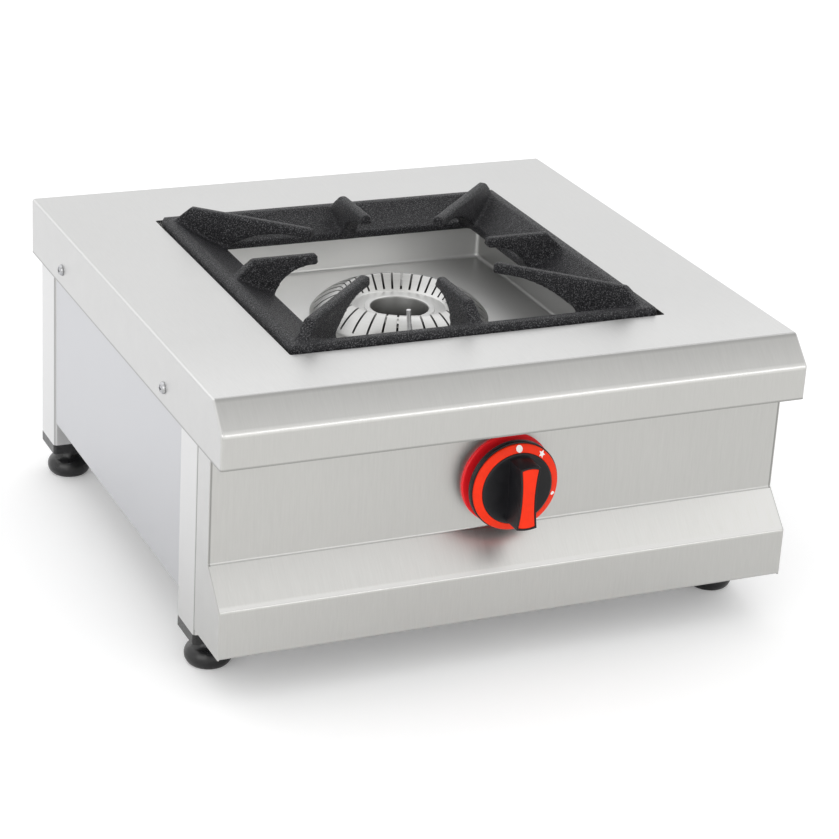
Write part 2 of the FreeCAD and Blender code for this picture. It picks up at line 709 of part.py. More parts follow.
def burner_crown():
    """Ring burner head: a dished centre, a raised rim cut by radial flame slots."""
    z = CROWN_Z
    dish = z + CROWN_DISH_H
    crest = z + CROWN_CREST_H
    edge = z + CROWN_EDGE
    wall = CROWN_WALL
    spigot = BOWL_R - BOWL_WALL - CROWN_FIT
    inside = spigot - CROWN_SPIGOT_WALL
    span = CROWN_R - CROWN_CREST_R
    shoulder = (CROWN_CREST_R + span * 0.55, crest - (crest - edge) * 0.36)
    vault = crest - 2 * wall
    crown = lathe([
        (CROWN_HOLE_R, z - CROWN_SLEEVE_DROP), (SLEEVE_R, z - CROWN_SLEEVE_DROP),
        (SLEEVE_R, dish - wall), (CROWN_DISH_R + wall / 2, dish - wall),
        (CROWN_CREST_R, vault), (inside, vault - wall), (inside, z - CROWN_SPIGOT),
        (spigot, z - CROWN_SPIGOT), (spigot, z), (CROWN_R, z), (CROWN_R, edge),
        (shoulder, (CROWN_CREST_R + 1, crest)), (CROWN_CREST_R - 1, crest - 0.4),
        (CROWN_DISH_R, dish), (CROWN_LIP_R, dish), (CROWN_LIP_R, dish + CROWN_LIP_H),
        (CROWN_HOLE_R + CROWN_LIP_H, dish + CROWN_LIP_H), (CROWN_HOLE_R, dish),
    ])
    slot = box((CROWN_DISH_R + 1, -SLOT_WIDTH / 2, z + SLOT_SEAT),
               (CROWN_R + 1, SLOT_WIDTH / 2, crest + 1))
    slots = []
    for k in range(SLOT_COUNT):
        copy = slot.copy()
        copy.rotate(V(0, 0, 0), V(0, 0, 1), 360.0 * (k + 0.5) / SLOT_COUNT)
        slots.append(copy)
    return single(crown.cut(slots))


def bolt_places():
    """X of the two bolts that hold the burner bowl to its strap."""
    ring = (SLEEVE_R + CROWN_FIT + BOWL_TUBE_WALL + BOWL_R - BOWL_WALL) / 2
    return (-ring, ring)


def burner_bowl():
    """Cast ring bowl under the crown, with an air tube and a socket for the mixing tube."""
    tube = SLEEVE_R + CROWN_FIT
    floor = BOWL_Z + BOWL_FLOOR
    bowl = lathe([
        (tube, BOWL_Z), (BOWL_R - 3, BOWL_Z), (BOWL_R, BOWL_Z + 3), (BOWL_R, CROWN_Z),
        (BOWL_R - BOWL_WALL, CROWN_Z), (BOWL_R - BOWL_WALL, floor),
        (tube + BOWL_TUBE_WALL, floor), (tube + BOWL_TUBE_WALL, CROWN_Z), (tube, CROWN_Z),
    ])
    wall_mid = BOWL_R - BOWL_WALL / 2
    socket_end = -(BOWL_R + SOCKET_LENGTH)
    socket = rod(MIX_R + SOCKET_WALL, (0, -wall_mid, MIX_Z), (0, socket_end, MIX_Z))
    hollow = rod(BOWL_R - BOWL_WALL, (0, 0, floor), (0, 0, CROWN_Z))
    bowl = bowl.fuse(socket.cut(hollow))
    bowl = bowl.cut(rod(MIX_R + BOLT_FIT, (0, -BOWL_R, MIX_Z), (0, socket_end - 1, MIX_Z)))
    bowl = bowl.cut(rod(MIX_R - MIX_WALL, (0, -wall_mid + BOWL_WALL, MIX_Z), (0, -BOWL_R - 1, MIX_Z)))
    for x in bolt_places():
        bowl = bowl.cut(rod(BOLT_R + BOLT_FIT, (x, 0, BOWL_Z - 1), (x, 0, BOWL_Z + BOLT_REACH + 0.2)))
    return single(bowl)


def mixing_tube():
    """Steel tube from the burner bowl to a flared air mouth facing the injector."""
    inner = MIX_R - MIX_WALL
    mouth = MIX_MOUTH_Y
    bore = MIX_MOUTH_R - MIX_WALL
    return turned([
        (inner, -BOWL_R), (MIX_R, -BOWL_R), (MIX_R, mouth + MIX_FLARE), (MIX_MOUTH_R, mouth),
        (bore, mouth), (inner, mouth + MIX_FLARE),
    ], 0.0, MIX_Z)


def burner_strap():
    """Folded strap that hangs the burner bowl under the basin floor."""
    under = BASIN_Z - BASIN_SHEET
    end = STRAP_HALF + STRAP_FOOT
    path = [(-end, under), (-STRAP_HALF, under), (-STRAP_HALF, STRAP_TOP), (STRAP_HALF, STRAP_TOP),
            (STRAP_HALF, under), (end, under)]
    strap = folded(path, "xz", STRAP_SHEET, STRAP_SHEET + 1, (0, STRAP_WIDTH, 0))
    strap.translate(V(0, -STRAP_WIDTH / 2, 0))
    low = STRAP_TOP - STRAP_SHEET - 1
    strap = strap.cut(rod(SLEEVE_R + CROWN_FIT, (0, 0, low), (0, 0, STRAP_TOP + 1)))
    for x in bolt_places():
        strap = strap.cut(rod(BOLT_R + BOLT_FIT, (x, 0, low), (x, 0, STRAP_TOP + 1)))
    return single(strap)


def burner_bolt(x):
    """Hexagon bolt up through the strap into the bowl."""
    face = STRAP_TOP - STRAP_SHEET
    head = hexagon(BOLT_HEAD_AF, (x, 0, face - BOLT_HEAD_H), (x, 0, face), 0)
    return single(head.fuse(rod(BOLT_R, (x, 0, face), (x, 0, BOWL_Z + BOLT_REACH))))


def tap_body():
    """Brass tap behind the panel: a threaded neck, a flange, an inlet and an outlet port."""
    tap = turned([(0, TAP_FRONT), (NECK_R, TAP_FRONT), (NECK_R, PANEL_BACK),
                  (TAP_FLANGE_R, PANEL_BACK), (TAP_FLANGE_R, PANEL_BACK + TAP_FLANGE_H),
                  (TAP_BODY_R, PANEL_BACK + TAP_FLANGE_H + 1), (TAP_BODY_R, TAP_BACK), (0, TAP_BACK)])
    axis = (0, OUTLET_Y, KNOB_HEIGHT)
    inlet = rod(TAP_PORT_R, axis, (TAP_INLET_REACH, OUTLET_Y, KNOB_HEIGHT))
    outlet = rod(TAP_PORT_R, axis, (0, OUTLET_Y, PORT_TOP))
    tap = tap.fuse([inlet, outlet])
    plug_back = TAP_BACK - PLUG_BACK_WALL
    plug_front = plug_back - PLUG_LENGTH
    chamber = turned([
        (0, TAP_FRONT - 1), (SPINDLE_R + TAP_FIT, TAP_FRONT - 1),
        (SPINDLE_R + TAP_FIT, plug_front - TAP_FIT), (PLUG_R + TAP_FIT, plug_front - TAP_FIT),
        (PLUG_R - PLUG_TAPER + TAP_FIT, plug_back + TAP_FIT), (0, plug_back + TAP_FIT),
    ])
    pipe_seat = rod(PIPE_R + PIPE_FIT, (TAP_INLET_REACH - PIPE_NUT_H / 2, OUTLET_Y, KNOB_HEIGHT),
                    (TAP_INLET_REACH + 1, OUTLET_Y, KNOB_HEIGHT))
    return single(tap.cut([chamber, pipe_seat]))


def tap_plug():
    """Tapered plug that opens the gas way, with a square socket for the spindle."""
    back = TAP_BACK - PLUG_BACK_WALL
    front = back - PLUG_LENGTH
    plug = turned([(0, front), (PLUG_R, front), (PLUG_R - PLUG_TAPER, back), (0, back)])
    half = SPINDLE_TANG / 2 + TAP_FIT
    socket = box((-half, front - 1, KNOB_HEIGHT - half),
                 (half, front + SPINDLE_TANG_LENGTH + KNOB_PUSH + 0.5, KNOB_HEIGHT + half))
    return single(plug.cut(socket))


def spindle():
    """Tap spindle: round in the neck, square in the plug."""
    front = TAP_BACK - PLUG_BACK_WALL - PLUG_LENGTH
    shoulder = front - KNOB_PUSH - 0.5
    half = SPINDLE_TANG / 2
    tang = box((-half, shoulder - 1, KNOB_HEIGHT - half),
               (half, front + SPINDLE_TANG_LENGTH, KNOB_HEIGHT + half))
    bar = rod(SPINDLE_R, (0, DISC_Y, KNOB_HEIGHT), (0, shoulder, KNOB_HEIGHT))
    return single(bar.fuse(tang))


def tap_nut():
    """Hexagon nut that clamps the tap to the panel."""
    return hexagon(NECK_NUT_AF, (0, PANEL_Y, KNOB_HEIGHT), (0, PANEL_Y - NECK_NUT_H, KNOB_HEIGHT),
                   NECK_R + PIPE_FIT)


def safety_magnet():
    """Flame safety magnet at the back of the tap, with a port for the thermocouple lead."""
    x, z = 0.0, KNOB_HEIGHT
    rim = MAGNET_R + MAGNET_RIM
    rim_end = TAP_BACK + MAGNET_RIM_H
    can = turned([(0, TAP_BACK), (rim, TAP_BACK), (rim, rim_end), (MAGNET_R, rim_end),
                  (MAGNET_R, MAGNET_END - MAGNET_RIM), (MAGNET_R - MAGNET_RIM, MAGNET_END),
                  (0, MAGNET_END)])
    lead_y = MAGNET_END - MAGNET_R
    port = rod(LEAD_NUT_AF / 2, (x, lead_y, z), (x, lead_y, z - MAGNET_R - LEAD_PORT))
    socket = rod(LEAD_R + PIPE_FIT, (x, lead_y, z - MAGNET_R + 2), (x, lead_y, z - MAGNET_R - LEAD_PORT - 1))
    return single(can.fuse(port).cut(socket))


def injector_elbow():
    """Brass elbow from the tap's outlet port to the injector."""
    upright = rod(ELBOW_R + 1, (0, OUTLET_Y, PORT_TOP), (0, OUTLET_Y, MIX_Z + ELBOW_R + ELBOW_CAP))
    reach = rod(ELBOW_R, (0, OUTLET_Y, MIX_Z), (0, OUTLET_Y + ELBOW_REACH, MIX_Z))
    return single(upright.fuse(reach))


def injector():
    """Gas jet: a hexagon, a tapered nose and a drilled orifice."""
    start = OUTLET_Y + ELBOW_REACH
    end = start + JET_HEX
    head = hexagon(JET_AF, (0, start, MIX_Z), (0, end, MIX_Z), 0)
    nose = turned([(0, end - 1), (JET_NOSE_R + 1, end - 1), (JET_NOSE_R + 1, end),
                   (JET_NOSE_R - 1, end + JET_NOSE), (0, end + JET_NOSE)], 0.0, MIX_Z)
    hole = rod(JET_HOLE_R, (0, end, MIX_Z), (0, end + JET_NOSE + 1, MIX_Z))
    return single(head.fuse(nose).cut(hole))


def knob_bezel():
    """Round plate on the panel behind the knob."""
    hole = NECK_NUT_AF / math.sqrt(3) + BEZEL_HOLE_GAP
    face = PANEL_Y - BEZEL_H
    return turned([(hole, PANEL_Y), (BEZEL_R, PANEL_Y), (BEZEL_R, face + 0.6), (BEZEL_R - 0.6, face),
                   (hole, face)])


def grip_outline(border):
    """Waisted outline of the knob's grip, in X and Z, drawn in by a border."""
    end = GRIP_LENGTH / 2 - border
    wide = GRIP_END_WIDTH / 2 - border
    waist = GRIP_WAIST_WIDTH / 2 - border
    crown = end + 1.0
    points = [(-wide, -end), ((0, -crown), (wide, -end)), ((waist, 0), (wide, end)),
              ((0, crown), (-wide, end)), ((-waist, 0), (-wide, -end))]
    steps = flat(points, "xz")
    edges = []
    here = V(*steps[0])
    for middle, end_point in steps[1:]:
        edges.append(Part.Arc(here, V(*middle), V(*end_point)).toShape())
        here = V(*end_point)
    return Part.Face(Part.Wire(edges))


def grip_block(border, front, back):
    """Prism of the grip's outline between two faces."""
    face = grip_outline(border)
    face.translate(V(0, front, KNOB_HEIGHT))
    return face.extrude(V(0, back - front, 0))


def control_knob():
    """Moulded knob: a hollow skirt, a dished face, a waisted grip and a hub."""
    rim = KNOB_R - RING_EDGE / 2
    disc_edge = KNOB_DISC_R - 1.0
    web = DISC_Y + KNOB_WALL + KNOB_DISH
    body = turned([
        (SPINDLE_R + TAP_FIT, HUB_END), (HUB_R, HUB_END), (HUB_R, web),
        (KNOB_DISC_R - KNOB_WALL, web), (KNOB_R - KNOB_WALL, SHOULDER_Y + KNOB_WALL),
        (KNOB_R - KNOB_WALL, KNOB_BACK), (KNOB_R, KNOB_BACK), (KNOB_R, SHOULDER_Y + 0.4),
        (rim, SHOULDER_Y), (KNOB_DISC_R, SHOULDER_Y), (KNOB_DISC_R, DISC_Y + 0.6), (disc_edge, DISC_Y),
        ((disc_edge / 2, DISC_Y + KNOB_DISH * 0.75), (0, DISC_Y + KNOB_DISH)),
        (0, web - 0.5), (SPINDLE_R + TAP_FIT, web - 0.5),
    ])
    grip = grip_block(0.0, KNOB_FACE, DISC_Y + KNOB_DISH + 1.0)
    pocket = grip_block(GRIP_BORDER, KNOB_FACE - 1, KNOB_FACE + INSERT_DEPTH)
    shaft = rod(SPINDLE_R + TAP_FIT, (0, DISC_Y - TAP_FIT, KNOB_HEIGHT), (0, KNOB_BACK + 1, KNOB_HEIGHT))
    return single(body.fuse(grip).cut(pocket).cut(shaft))


def knob_ring():
    """Coloured ring on the knob's shoulder."""
    inner = KNOB_DISC_R + INSERT_FIT
    outer = KNOB_R - RING_EDGE / 2
    return turned([(inner, SHOULDER_Y), (outer, SHOULDER_Y), (outer, SHOULDER_Y - RING_EDGE),
                   (inner, DISC_Y + 0.6)])


def knob_insert():
    """Coloured strip let into the front of the grip."""
    return grip_block(GRIP_BORDER + INSERT_FIT, KNOB_FACE, KNOB_FACE + INSERT_DEPTH)


def supply_pipe():
    """Gas pipe along the right side, bent once, from the rear inlet to the tap."""
    start = V(TAP_INLET_REACH - PIPE_NUT_H / 2 + 0.5, OUTLET_Y, KNOB_HEIGHT)
    corner = V(PIPE_X, OUTLET_Y, KNOB_HEIGHT)
    end = V(PIPE_X, REAR_PAN_IN - INLET_FLANGE_H - PIPE_NUT_H / 2, KNOB_HEIGHT)
    enter = corner - V(PIPE_BEND, 0, 0)
    leave = corner + V(0, PIPE_BEND, 0)
    dip = PIPE_BEND * (1 - math.sqrt(0.5))
    bend = Part.Arc(enter, corner + V(-dip, dip, 0), leave).toShape()
    path = Part.Wire([Part.makeLine(start, enter), bend, Part.makeLine(leave, end)])
    pipes = []
    for radius in (PIPE_R, PIPE_R - PIPE_WALL):
        ring = Part.Wire(Part.makeCircle(radius, start, V(1, 0, 0)))
        pipes.append(path.makePipeShell([ring], True, False))
    return single(pipes[0].cut(pipes[1]))


def pipe_nut_tap():
    """Union nut on the tap's inlet port."""
    return hexagon(PIPE_NUT_AF, (TAP_INLET_REACH, OUTLET_Y, KNOB_HEIGHT),
                   (TAP_INLET_REACH + PIPE_NUT_H, OUTLET_Y, KNOB_HEIGHT), PIPE_R + PIPE_FIT)


def gas_inlet():
    """Threaded nipple through the rear panel, with a hexagon flange inside."""
    flange_face = REAR_PAN_IN - INLET_FLANGE_H
    nipple = rod(INLET_R, (PIPE_X, REAR_PAN_IN, KNOB_HEIGHT), (PIPE_X, INLET_END, KNOB_HEIGHT))
    flange = hexagon(INLET_FLANGE_AF, (PIPE_X, flange_face, KNOB_HEIGHT),
                     (PIPE_X, REAR_PAN_IN, KNOB_HEIGHT), 0)
    tail = rod(INLET_TAIL_R, (PIPE_X, flange_face - INLET_TAIL, KNOB_HEIGHT),
               (PIPE_X, flange_face, KNOB_HEIGHT))
    bore = rod(INLET_BORE, (PIPE_X, flange_face, KNOB_HEIGHT), (PIPE_X, INLET_END + 1, KNOB_HEIGHT))
    nut_end = REAR_PAN_OUT + INLET_NUT_H
    groove_r = INLET_R - INLET_RELIEF_DEPTH
    relief = turned([(groove_r, nut_end), (INLET_R + 1, nut_end), (INLET_R + 1, nut_end + INLET_RELIEF),
                     (groove_r, nut_end + INLET_RELIEF)], PIPE_X)
    seat = rod(PIPE_R + PIPE_FIT, (PIPE_X, flange_face - INLET_TAIL - 1, KNOB_HEIGHT),
               (PIPE_X, flange_face, KNOB_HEIGHT))
    return single(nipple.fuse([flange, tail]).cut([bore, seat, relief]))


def inlet_nut():
    """Lock nut that clamps the inlet to the rear panel."""
    return hexagon(INLET_FLANGE_AF, (PIPE_X, REAR_PAN_OUT, KNOB_HEIGHT),
                   (PIPE_X, REAR_PAN_OUT + INLET_NUT_H, KNOB_HEIGHT), INLET_R + PIPE_FIT)


def pipe_nut_inlet():
    """Union nut where the pipe enters the inlet's tail."""
    end = REAR_PAN_IN - INLET_FLANGE_H - INLET_TAIL
    return hexagon(PIPE_NUT_AF, (PIPE_X, end - PIPE_NUT_H, KNOB_HEIGHT), (PIPE_X, end, KNOB_HEIGHT),
                   PIPE_R + PIPE_FIT)


def thermocouple():
    """Probe through the basin floor whose thin tip leans beside the crown."""
    bend = BASIN_Z + PROBE_BEND - PROBE_TOP
    low = BASIN_Z - BASIN_SHEET - PROBE_TAIL
    stem = rod(PROBE_R, (PROBE_X, PROBE_Y, low), (PROBE_X, PROBE_Y, bend))
    rise = TOP_HEIGHT - PROBE_TOP - bend
    lean = rise * math.tan(math.radians(PROBE_LEAN))
    tip = rod(PROBE_TIP_R, (PROBE_X, PROBE_Y, bend - 1), (PROBE_X - lean, PROBE_Y, bend + rise))
    socket = rod(LEAD_R + PIPE_FIT, (PROBE_X, PROBE_Y, low - 1), (PROBE_X, PROBE_Y, low + 4))
    return single(stem.fuse(tip).cut(socket))


def probe_nuts():
    """Nuts above and below the basin floor that hold the probe."""
    under = BASIN_Z - BASIN_SHEET
    bore = PROBE_R + PIPE_FIT
    upper = hexagon(PROBE_NUT_AF, (PROBE_X, PROBE_Y, BASIN_Z), (PROBE_X, PROBE_Y, BASIN_Z + PROBE_NUT_H),
                    bore)
    lower = hexagon(PROBE_NUT_AF, (PROBE_X, PROBE_Y, under - PROBE_NUT_H), (PROBE_X, PROBE_Y, under), bore)
    return Part.makeCompound([upper, lower])


def thermocouple_lead():
    """Copper lead hung in a U from the probe's tail to the safety magnet."""
    probe_end = V(PROBE_X, PROBE_Y, BASIN_Z - BASIN_SHEET - PROBE_TAIL + 3)
    tap_end = V(0, MAGNET_END - MAGNET_R, KNOB_HEIGHT - MAGNET_R + 1)
    across = V(tap_end.x - probe_end.x, tap_end.y - probe_end.y, 0).normalize()
    low_probe = V(probe_end.x, probe_end.y, LEAD_HEIGHT)
    low_tap = V(tap_end.x, tap_end.y, LEAD_HEIGHT)
    dip = LEAD_BEND * (1 - math.sqrt(0.5))
    up = V(0, 0, 1)
    first = [low_probe + up * LEAD_BEND, low_probe + (across + up) * dip, low_probe + across * LEAD_BEND]
    last = [low_tap - across * LEAD_BEND, low_tap + (up - across) * dip, low_tap + up * LEAD_BEND]
    path = Part.Wire([
        Part.makeLine(probe_end, first[0]), Part.Arc(*first).toShape(),
        Part.makeLine(first[2], last[0]), Part.Arc(*last).toShape(),
        Part.makeLine(last[2], tap_end),
    ])
    ring = Part.Wire(Part.makeCircle(LEAD_R, probe_end, V(0, 0, -1)))
    return path.makePipeShell([ring], True, False)


def lead_nut():
    """Nut that holds the lead in the safety magnet's port."""
    y = MAGNET_END - MAGNET_R
    top = KNOB_HEIGHT - MAGNET_R - LEAD_PORT
    return hexagon(LEAD_NUT_AF, (0, y, top - LEAD_NUT_H), (0, y, top), LEAD_R + PIPE_FIT)


def nodes():
    """Every piece of the stove under its name."""
    parts = {
        "top_plate": top_plate(),
        "front_panel": front_panel(),
        "left_side_panel": side_panel(-1),
        "right_side_panel": side_panel(1),
        "rear_panel": rear_panel(),
        "spill_basin": spill_basin(),
        "pan_grate": pan_grate(),
        "burner_crown": burner_crown(),
        "burner_bowl": burner_bowl(),
        "mixing_tube": mixing_tube(),
        "burner_strap": burner_strap(),
        "burner_bolts": Part.makeCompound([burner_bolt(x) for x in bolt_places()]),
        "tap_body": tap_body(),
        "tap_plug": tap_plug(),
        "tap_spindle": spindle(),
        "tap_nut": tap_nut(),
        "safety_magnet": safety_magnet(),
        "injector_elbow": injector_elbow(),
        "injector": injector(),
        "knob_bezel": knob_bezel(),
        "control_knob": control_knob(),
        "knob_ring": knob_ring(),
        "knob_insert": knob_insert(),
        "supply_pipe": supply_pipe(),
        "pipe_nut_tap": pipe_nut_tap(),
        "pipe_nut_inlet": pipe_nut_inlet(),
        "gas_inlet": gas_inlet(),
        "inlet_nut": inlet_nut(),
        "thermocouple": thermocouple(),
        "probe_nuts": probe_nuts(),
        "thermocouple_lead": thermocouple_lead(),
        "lead_nut": lead_nut(),
    }
    sides = [(side, y) for side in (-1, 1) for y in SCREW_YS]
    parts["apron_screws"] = Part.makeCompound([apron_screw(*place) for place in sides])
    parts["apron_nuts"] = Part.makeCompound([apron_nut(*place) for place in sides])
    for name, place in POST_PLACES.items():
        parts[name + "_post"] = corner_post(place)
        parts[name + "_plug"] = foot_plug(place)
        parts[name + "_stud"] = foot_stud(place)
        parts[name + "_pad"] = foot_pad(place)
    return parts


def main():
    """Build every node and write it out."""
    os.makedirs("parts", exist_ok=True)
    for name, shape in nodes().items():
        shape.exportStep("parts/" + name + ".step")
        print(name, len(shape.Solids), shape.isValid(), round(shape.Volume))


main()
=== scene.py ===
"""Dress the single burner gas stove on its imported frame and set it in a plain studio."""

import cmath
import json
import logging
import math
from dataclasses import dataclass, field
from enum import Enum
from typing import Any, Iterable, Sequence

import bmesh
import bpy
from mathutils import Matrix, Vector


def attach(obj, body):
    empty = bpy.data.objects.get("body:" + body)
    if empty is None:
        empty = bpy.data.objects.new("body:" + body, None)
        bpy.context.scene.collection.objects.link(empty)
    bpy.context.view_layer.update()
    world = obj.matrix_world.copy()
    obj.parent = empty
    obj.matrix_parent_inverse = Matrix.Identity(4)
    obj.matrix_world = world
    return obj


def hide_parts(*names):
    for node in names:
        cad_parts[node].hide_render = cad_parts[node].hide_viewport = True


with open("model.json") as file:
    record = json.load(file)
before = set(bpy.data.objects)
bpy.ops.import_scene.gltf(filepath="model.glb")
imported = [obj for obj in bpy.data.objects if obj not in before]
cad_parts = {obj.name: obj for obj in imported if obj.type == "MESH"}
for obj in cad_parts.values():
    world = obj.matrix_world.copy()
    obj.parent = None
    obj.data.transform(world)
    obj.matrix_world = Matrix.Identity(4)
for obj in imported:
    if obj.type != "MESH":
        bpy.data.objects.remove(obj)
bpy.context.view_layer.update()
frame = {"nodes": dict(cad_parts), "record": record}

LOG = logging.getLogger("stove")
MM = 0.001
FULL_TURN = 2.0 * math.pi
QUARTER_TURN = math.pi / 2
WELD = 0.002 * MM
NOISE_SPAN = (0.3, 0.7)
WHITE = (1.0, 1.0, 1.0)
FLOAT = "NodeSocketFloat"
VECTOR = "NodeSocketVector"

Node, Socket, Tree = bpy.types.Node, bpy.types.NodeSocket, bpy.types.NodeTree
Colour = tuple[float, float, float]
Point2 = tuple[float, float]
Point3 = tuple[float, float, float]


class Grain(Enum):
    """Noise frequencies in X, Y and Z, per metre, for a brushed sheet."""

    ACROSS_X = (900.0, 60.0, 60.0)
    ACROSS_Y = (24.0, 600.0, 24.0)


class Graph:
    """Adds nodes and links to one node tree."""

    def __init__(self, tree: Tree) -> None:
        """Start on a shader or geometry tree."""
        self.tree = tree

    def add(self, kind: str, inputs: dict[str | int, Any] | None = None, **settings: Any) -> Node:
        """Add a node and feed its inputs.

        Args:
            kind: The node's type name.
            inputs: Values or outputs for its inputs, by name or number.
            settings: Properties to set on the node.

        Returns:
            The new node.
        """
        node = self.tree.nodes.new(kind)
        for key, value in settings.items():
            setattr(node, key, value)
        for key, value in (inputs or {}).items():
            self.feed(node.inputs[key], value)
        return node

    def feed(self, socket: Socket, value: Any) -> None:
        """Link an output to a socket, or set the socket's own value.

        Args:
            socket: The input to feed.
            value: An output socket, or a plain value.
        """
        if isinstance(value, Socket):
            self.tree.links.new(value, socket)
        else:
            socket.default_value = value

    def math(self, operation: str, a: Any, b: Any = 0.0) -> Socket:
        """Result of a math node on two values or outputs."""
        return self.add("ShaderNodeMath", {0: a, 1: b}, operation=operation).outputs[0]

    def times(self, *values: Any) -> Socket:
        """Multiply values.

        Args:
            values: Two or more values or outputs.

        Returns:
            The product's socket.
        """
        product = values[0]
        for value in values[1:]:
            product = self.math("MULTIPLY", product, value)
        return product

    def away(self, value: Any, centre: float) -> Socket:
        """Distance of a value from a centre."""
        return self.math("ABSOLUTE", self.math("SUBTRACT", value, centre))

    def weigh(self, a: Any, b: Any, share: float) -> Socket:
        """Sum of two values, with a share of the first and the rest of the second."""
        return self.math("ADD", self.times(a, share), self.times(b, 1.0 - share))

    def vector(self, operation: str, a: Any, b: Any = (0.0, 0.0, 0.0)) -> Node:
        """Vector math node on two vectors, whose outputs are Vector and Value."""
        return self.add("ShaderNodeVectorMath", {0: a, 1: b}, operation=operation)

    def xyz(self, vector: Socket) -> tuple[Socket, ...]:
        """Outputs for a vector's X, Y and Z."""
        return tuple(self.add("ShaderNodeSeparateXYZ", {"Vector": vector}).outputs)

    def place(self) -> Socket:
        """Place on the piece, in metres from the part's origin."""
        return self.add("ShaderNodeTexCoord").outputs["Object"]

    def ramp(self, value: Any, low: float, high: float, to_low: Any, to_high: Any) -> Socket:
        """Map a value from one range to another.

        Args:
            value: The value or output to map.
            low: Start of the range read.
            high: End of the range read.
            to_low: Result at the start.
            to_high: Result at the end.

        Returns:
            The mapped value's socket.
        """
        return self.add("ShaderNodeMapRange", {
            "Value": value, "From Min": low, "From Max": high,
            "To Min": to_low, "To Max": to_high}).outputs["Result"]

    def inside(self, mask: Any, gain: Any) -> Socket:
        """Factor that is 1 outside a mask and the gain inside it."""
        return self.ramp(mask, 0.0, 1.0, 1.0, gain)

    def noise(self, vector: Any, scale: Any, detail: float = 2.0, rough: float = 0.5) -> Socket:
        """Add a noise texture.

        Args:
            vector: The place that is read.
            scale: Frequency.
            detail: Octaves.
            rough: Weight of the finer octaves.

        Returns:
            The noise value's socket.
        """
        return self.add("ShaderNodeTexNoise", {
            "Vector": vector, "Scale": scale, "Detail": detail, "Roughness": rough}).outputs["Fac"]

    def mix(self, factor: Any, a: Any, b: Any) -> Socket:
        """Mix two colours.

        Args:
            factor: Share of the second colour.
            a: First colour or output.
            b: Second colour or output.

        Returns:
            The mixed colour's socket.
        """
        a, b = ((*side, 1.0) if isinstance(side, tuple) else side for side in (a, b))
        node = self.add("ShaderNodeMix", {"Factor": factor, "A": a, "B": b}, data_type="RGBA")
        return node.outputs["Result"]


class ShaderGroups:
    """Node groups for the surface effects that finishes share."""

    def __init__(self) -> None:
        """Build every group once."""
        self.brushed = self._brushed()
        self.cast = self._cast()
        self.turned = self._turned()
        self.thread = self._thread()
        self.smear = self._smear()

    @staticmethod
    def _start(name: str, outputs: Sequence[str], **inputs: str) -> tuple[Graph, Any, Any]:
        """Open a shader group.

        Args:
            name: The group's name.
            outputs: Names of the value outputs.
            inputs: Socket type of each input, by name.

        Returns:
            The graph, the sockets that its inputs arrive on and those that its results leave by.
        """
        tree = bpy.data.node_groups.new(name, "ShaderNodeTree")
        for label, kind in inputs.items():
            tree.interface.new_socket(label, in_out="INPUT", socket_type=kind)
        for label in outputs:
            tree.interface.new_socket(label, in_out="OUTPUT", socket_type=FLOAT)
        graph = Graph(tree)
        return graph, graph.add("NodeGroupInput").outputs, graph.add("NodeGroupOutput").inputs

    def _brushed(self) -> Tree:
        """Streaks along a sheet's grain.

        Returns:
            A group from Frequency to Streak.
        """
        graph, source, sink = self._start("Brushed grain", ["Streak"], Frequency=VECTOR)
        stretched = graph.vector("MULTIPLY", graph.place(), source["Frequency"]).outputs["Vector"]
        graph.feed(sink["Streak"], graph.noise(stretched, 1.0, detail=3.0, rough=0.65))
        return graph.tree

    def _smear(self) -> Tree:
        """Wide soft patches, as handling and rolling leave on a surface.

        Returns:
            A group from Frequency to Patch.
        """
        graph, source, sink = self._start("Soft patches", ["Patch"], Frequency=FLOAT)
        graph.feed(sink["Patch"], graph.noise(graph.place(), source["Frequency"]))
        return graph.tree

    def _cast(self) -> Tree:
        """Rough casting skin with a mask of flecks, which the casting paints lighter as glints.

        Returns:
            A group from Frequency to Height and Fleck.
        """
        graph, source, sink = self._start("Cast skin", ["Height", "Fleck"], Frequency=FLOAT)
        swell_frequency, swell_height = 0.22, 0.6
        fleck_span = (0.53, 0.62)
        fine = graph.noise(graph.place(), source["Frequency"], detail=3.0, rough=0.6)
        swell = graph.noise(graph.place(), graph.times(source["Frequency"], swell_frequency))
        graph.feed(sink["Height"], graph.math("ADD", fine, graph.times(swell, swell_height)))
        graph.feed(sink["Fleck"], graph.ramp(fine, *fleck_span, 0.0, 1.0))
        return graph.tree

    def _turned(self) -> Tree:
        """Fine rings round an upright axis through the part's origin.

        Returns:
            A group from Frequency to Ring and Radius.
        """
        graph, source, sink = self._start("Turning marks", ["Ring", "Radius"], Frequency=FLOAT)
        level = graph.vector("MULTIPLY", graph.place(), (1.0, 1.0, 0.0)).outputs["Vector"]
        radius = graph.vector("LENGTH", level).outputs["Value"]
        line = graph.add("ShaderNodeTexNoise", {"W": radius, "Scale": source["Frequency"], "Detail": 2.0},
                         noise_dimensions="1D")
        graph.feed(sink["Ring"], line.outputs["Fac"])
        graph.feed(sink["Radius"], radius)
        return graph.tree

    def _thread(self) -> Tree:
        """Ridge of a screw thread, from coordinates across and along its axis.

        Returns:
            A group from Place and Pitch to Ridge.
        """
        graph, source, sink = self._start("Screw thread", ["Ridge"], Place=VECTOR, Pitch=FLOAT)
        x, y, z = graph.xyz(source["Place"])
        turns = graph.math("DIVIDE", graph.math("ARCTAN2", y, x), FULL_TURN)
        along = graph.math("SUBTRACT", graph.math("DIVIDE", z, source["Pitch"]), turns)
        graph.feed(sink["Ridge"], graph.math("PINGPONG", along, 0.5))
        return graph.tree


GROUPS = ShaderGroups()


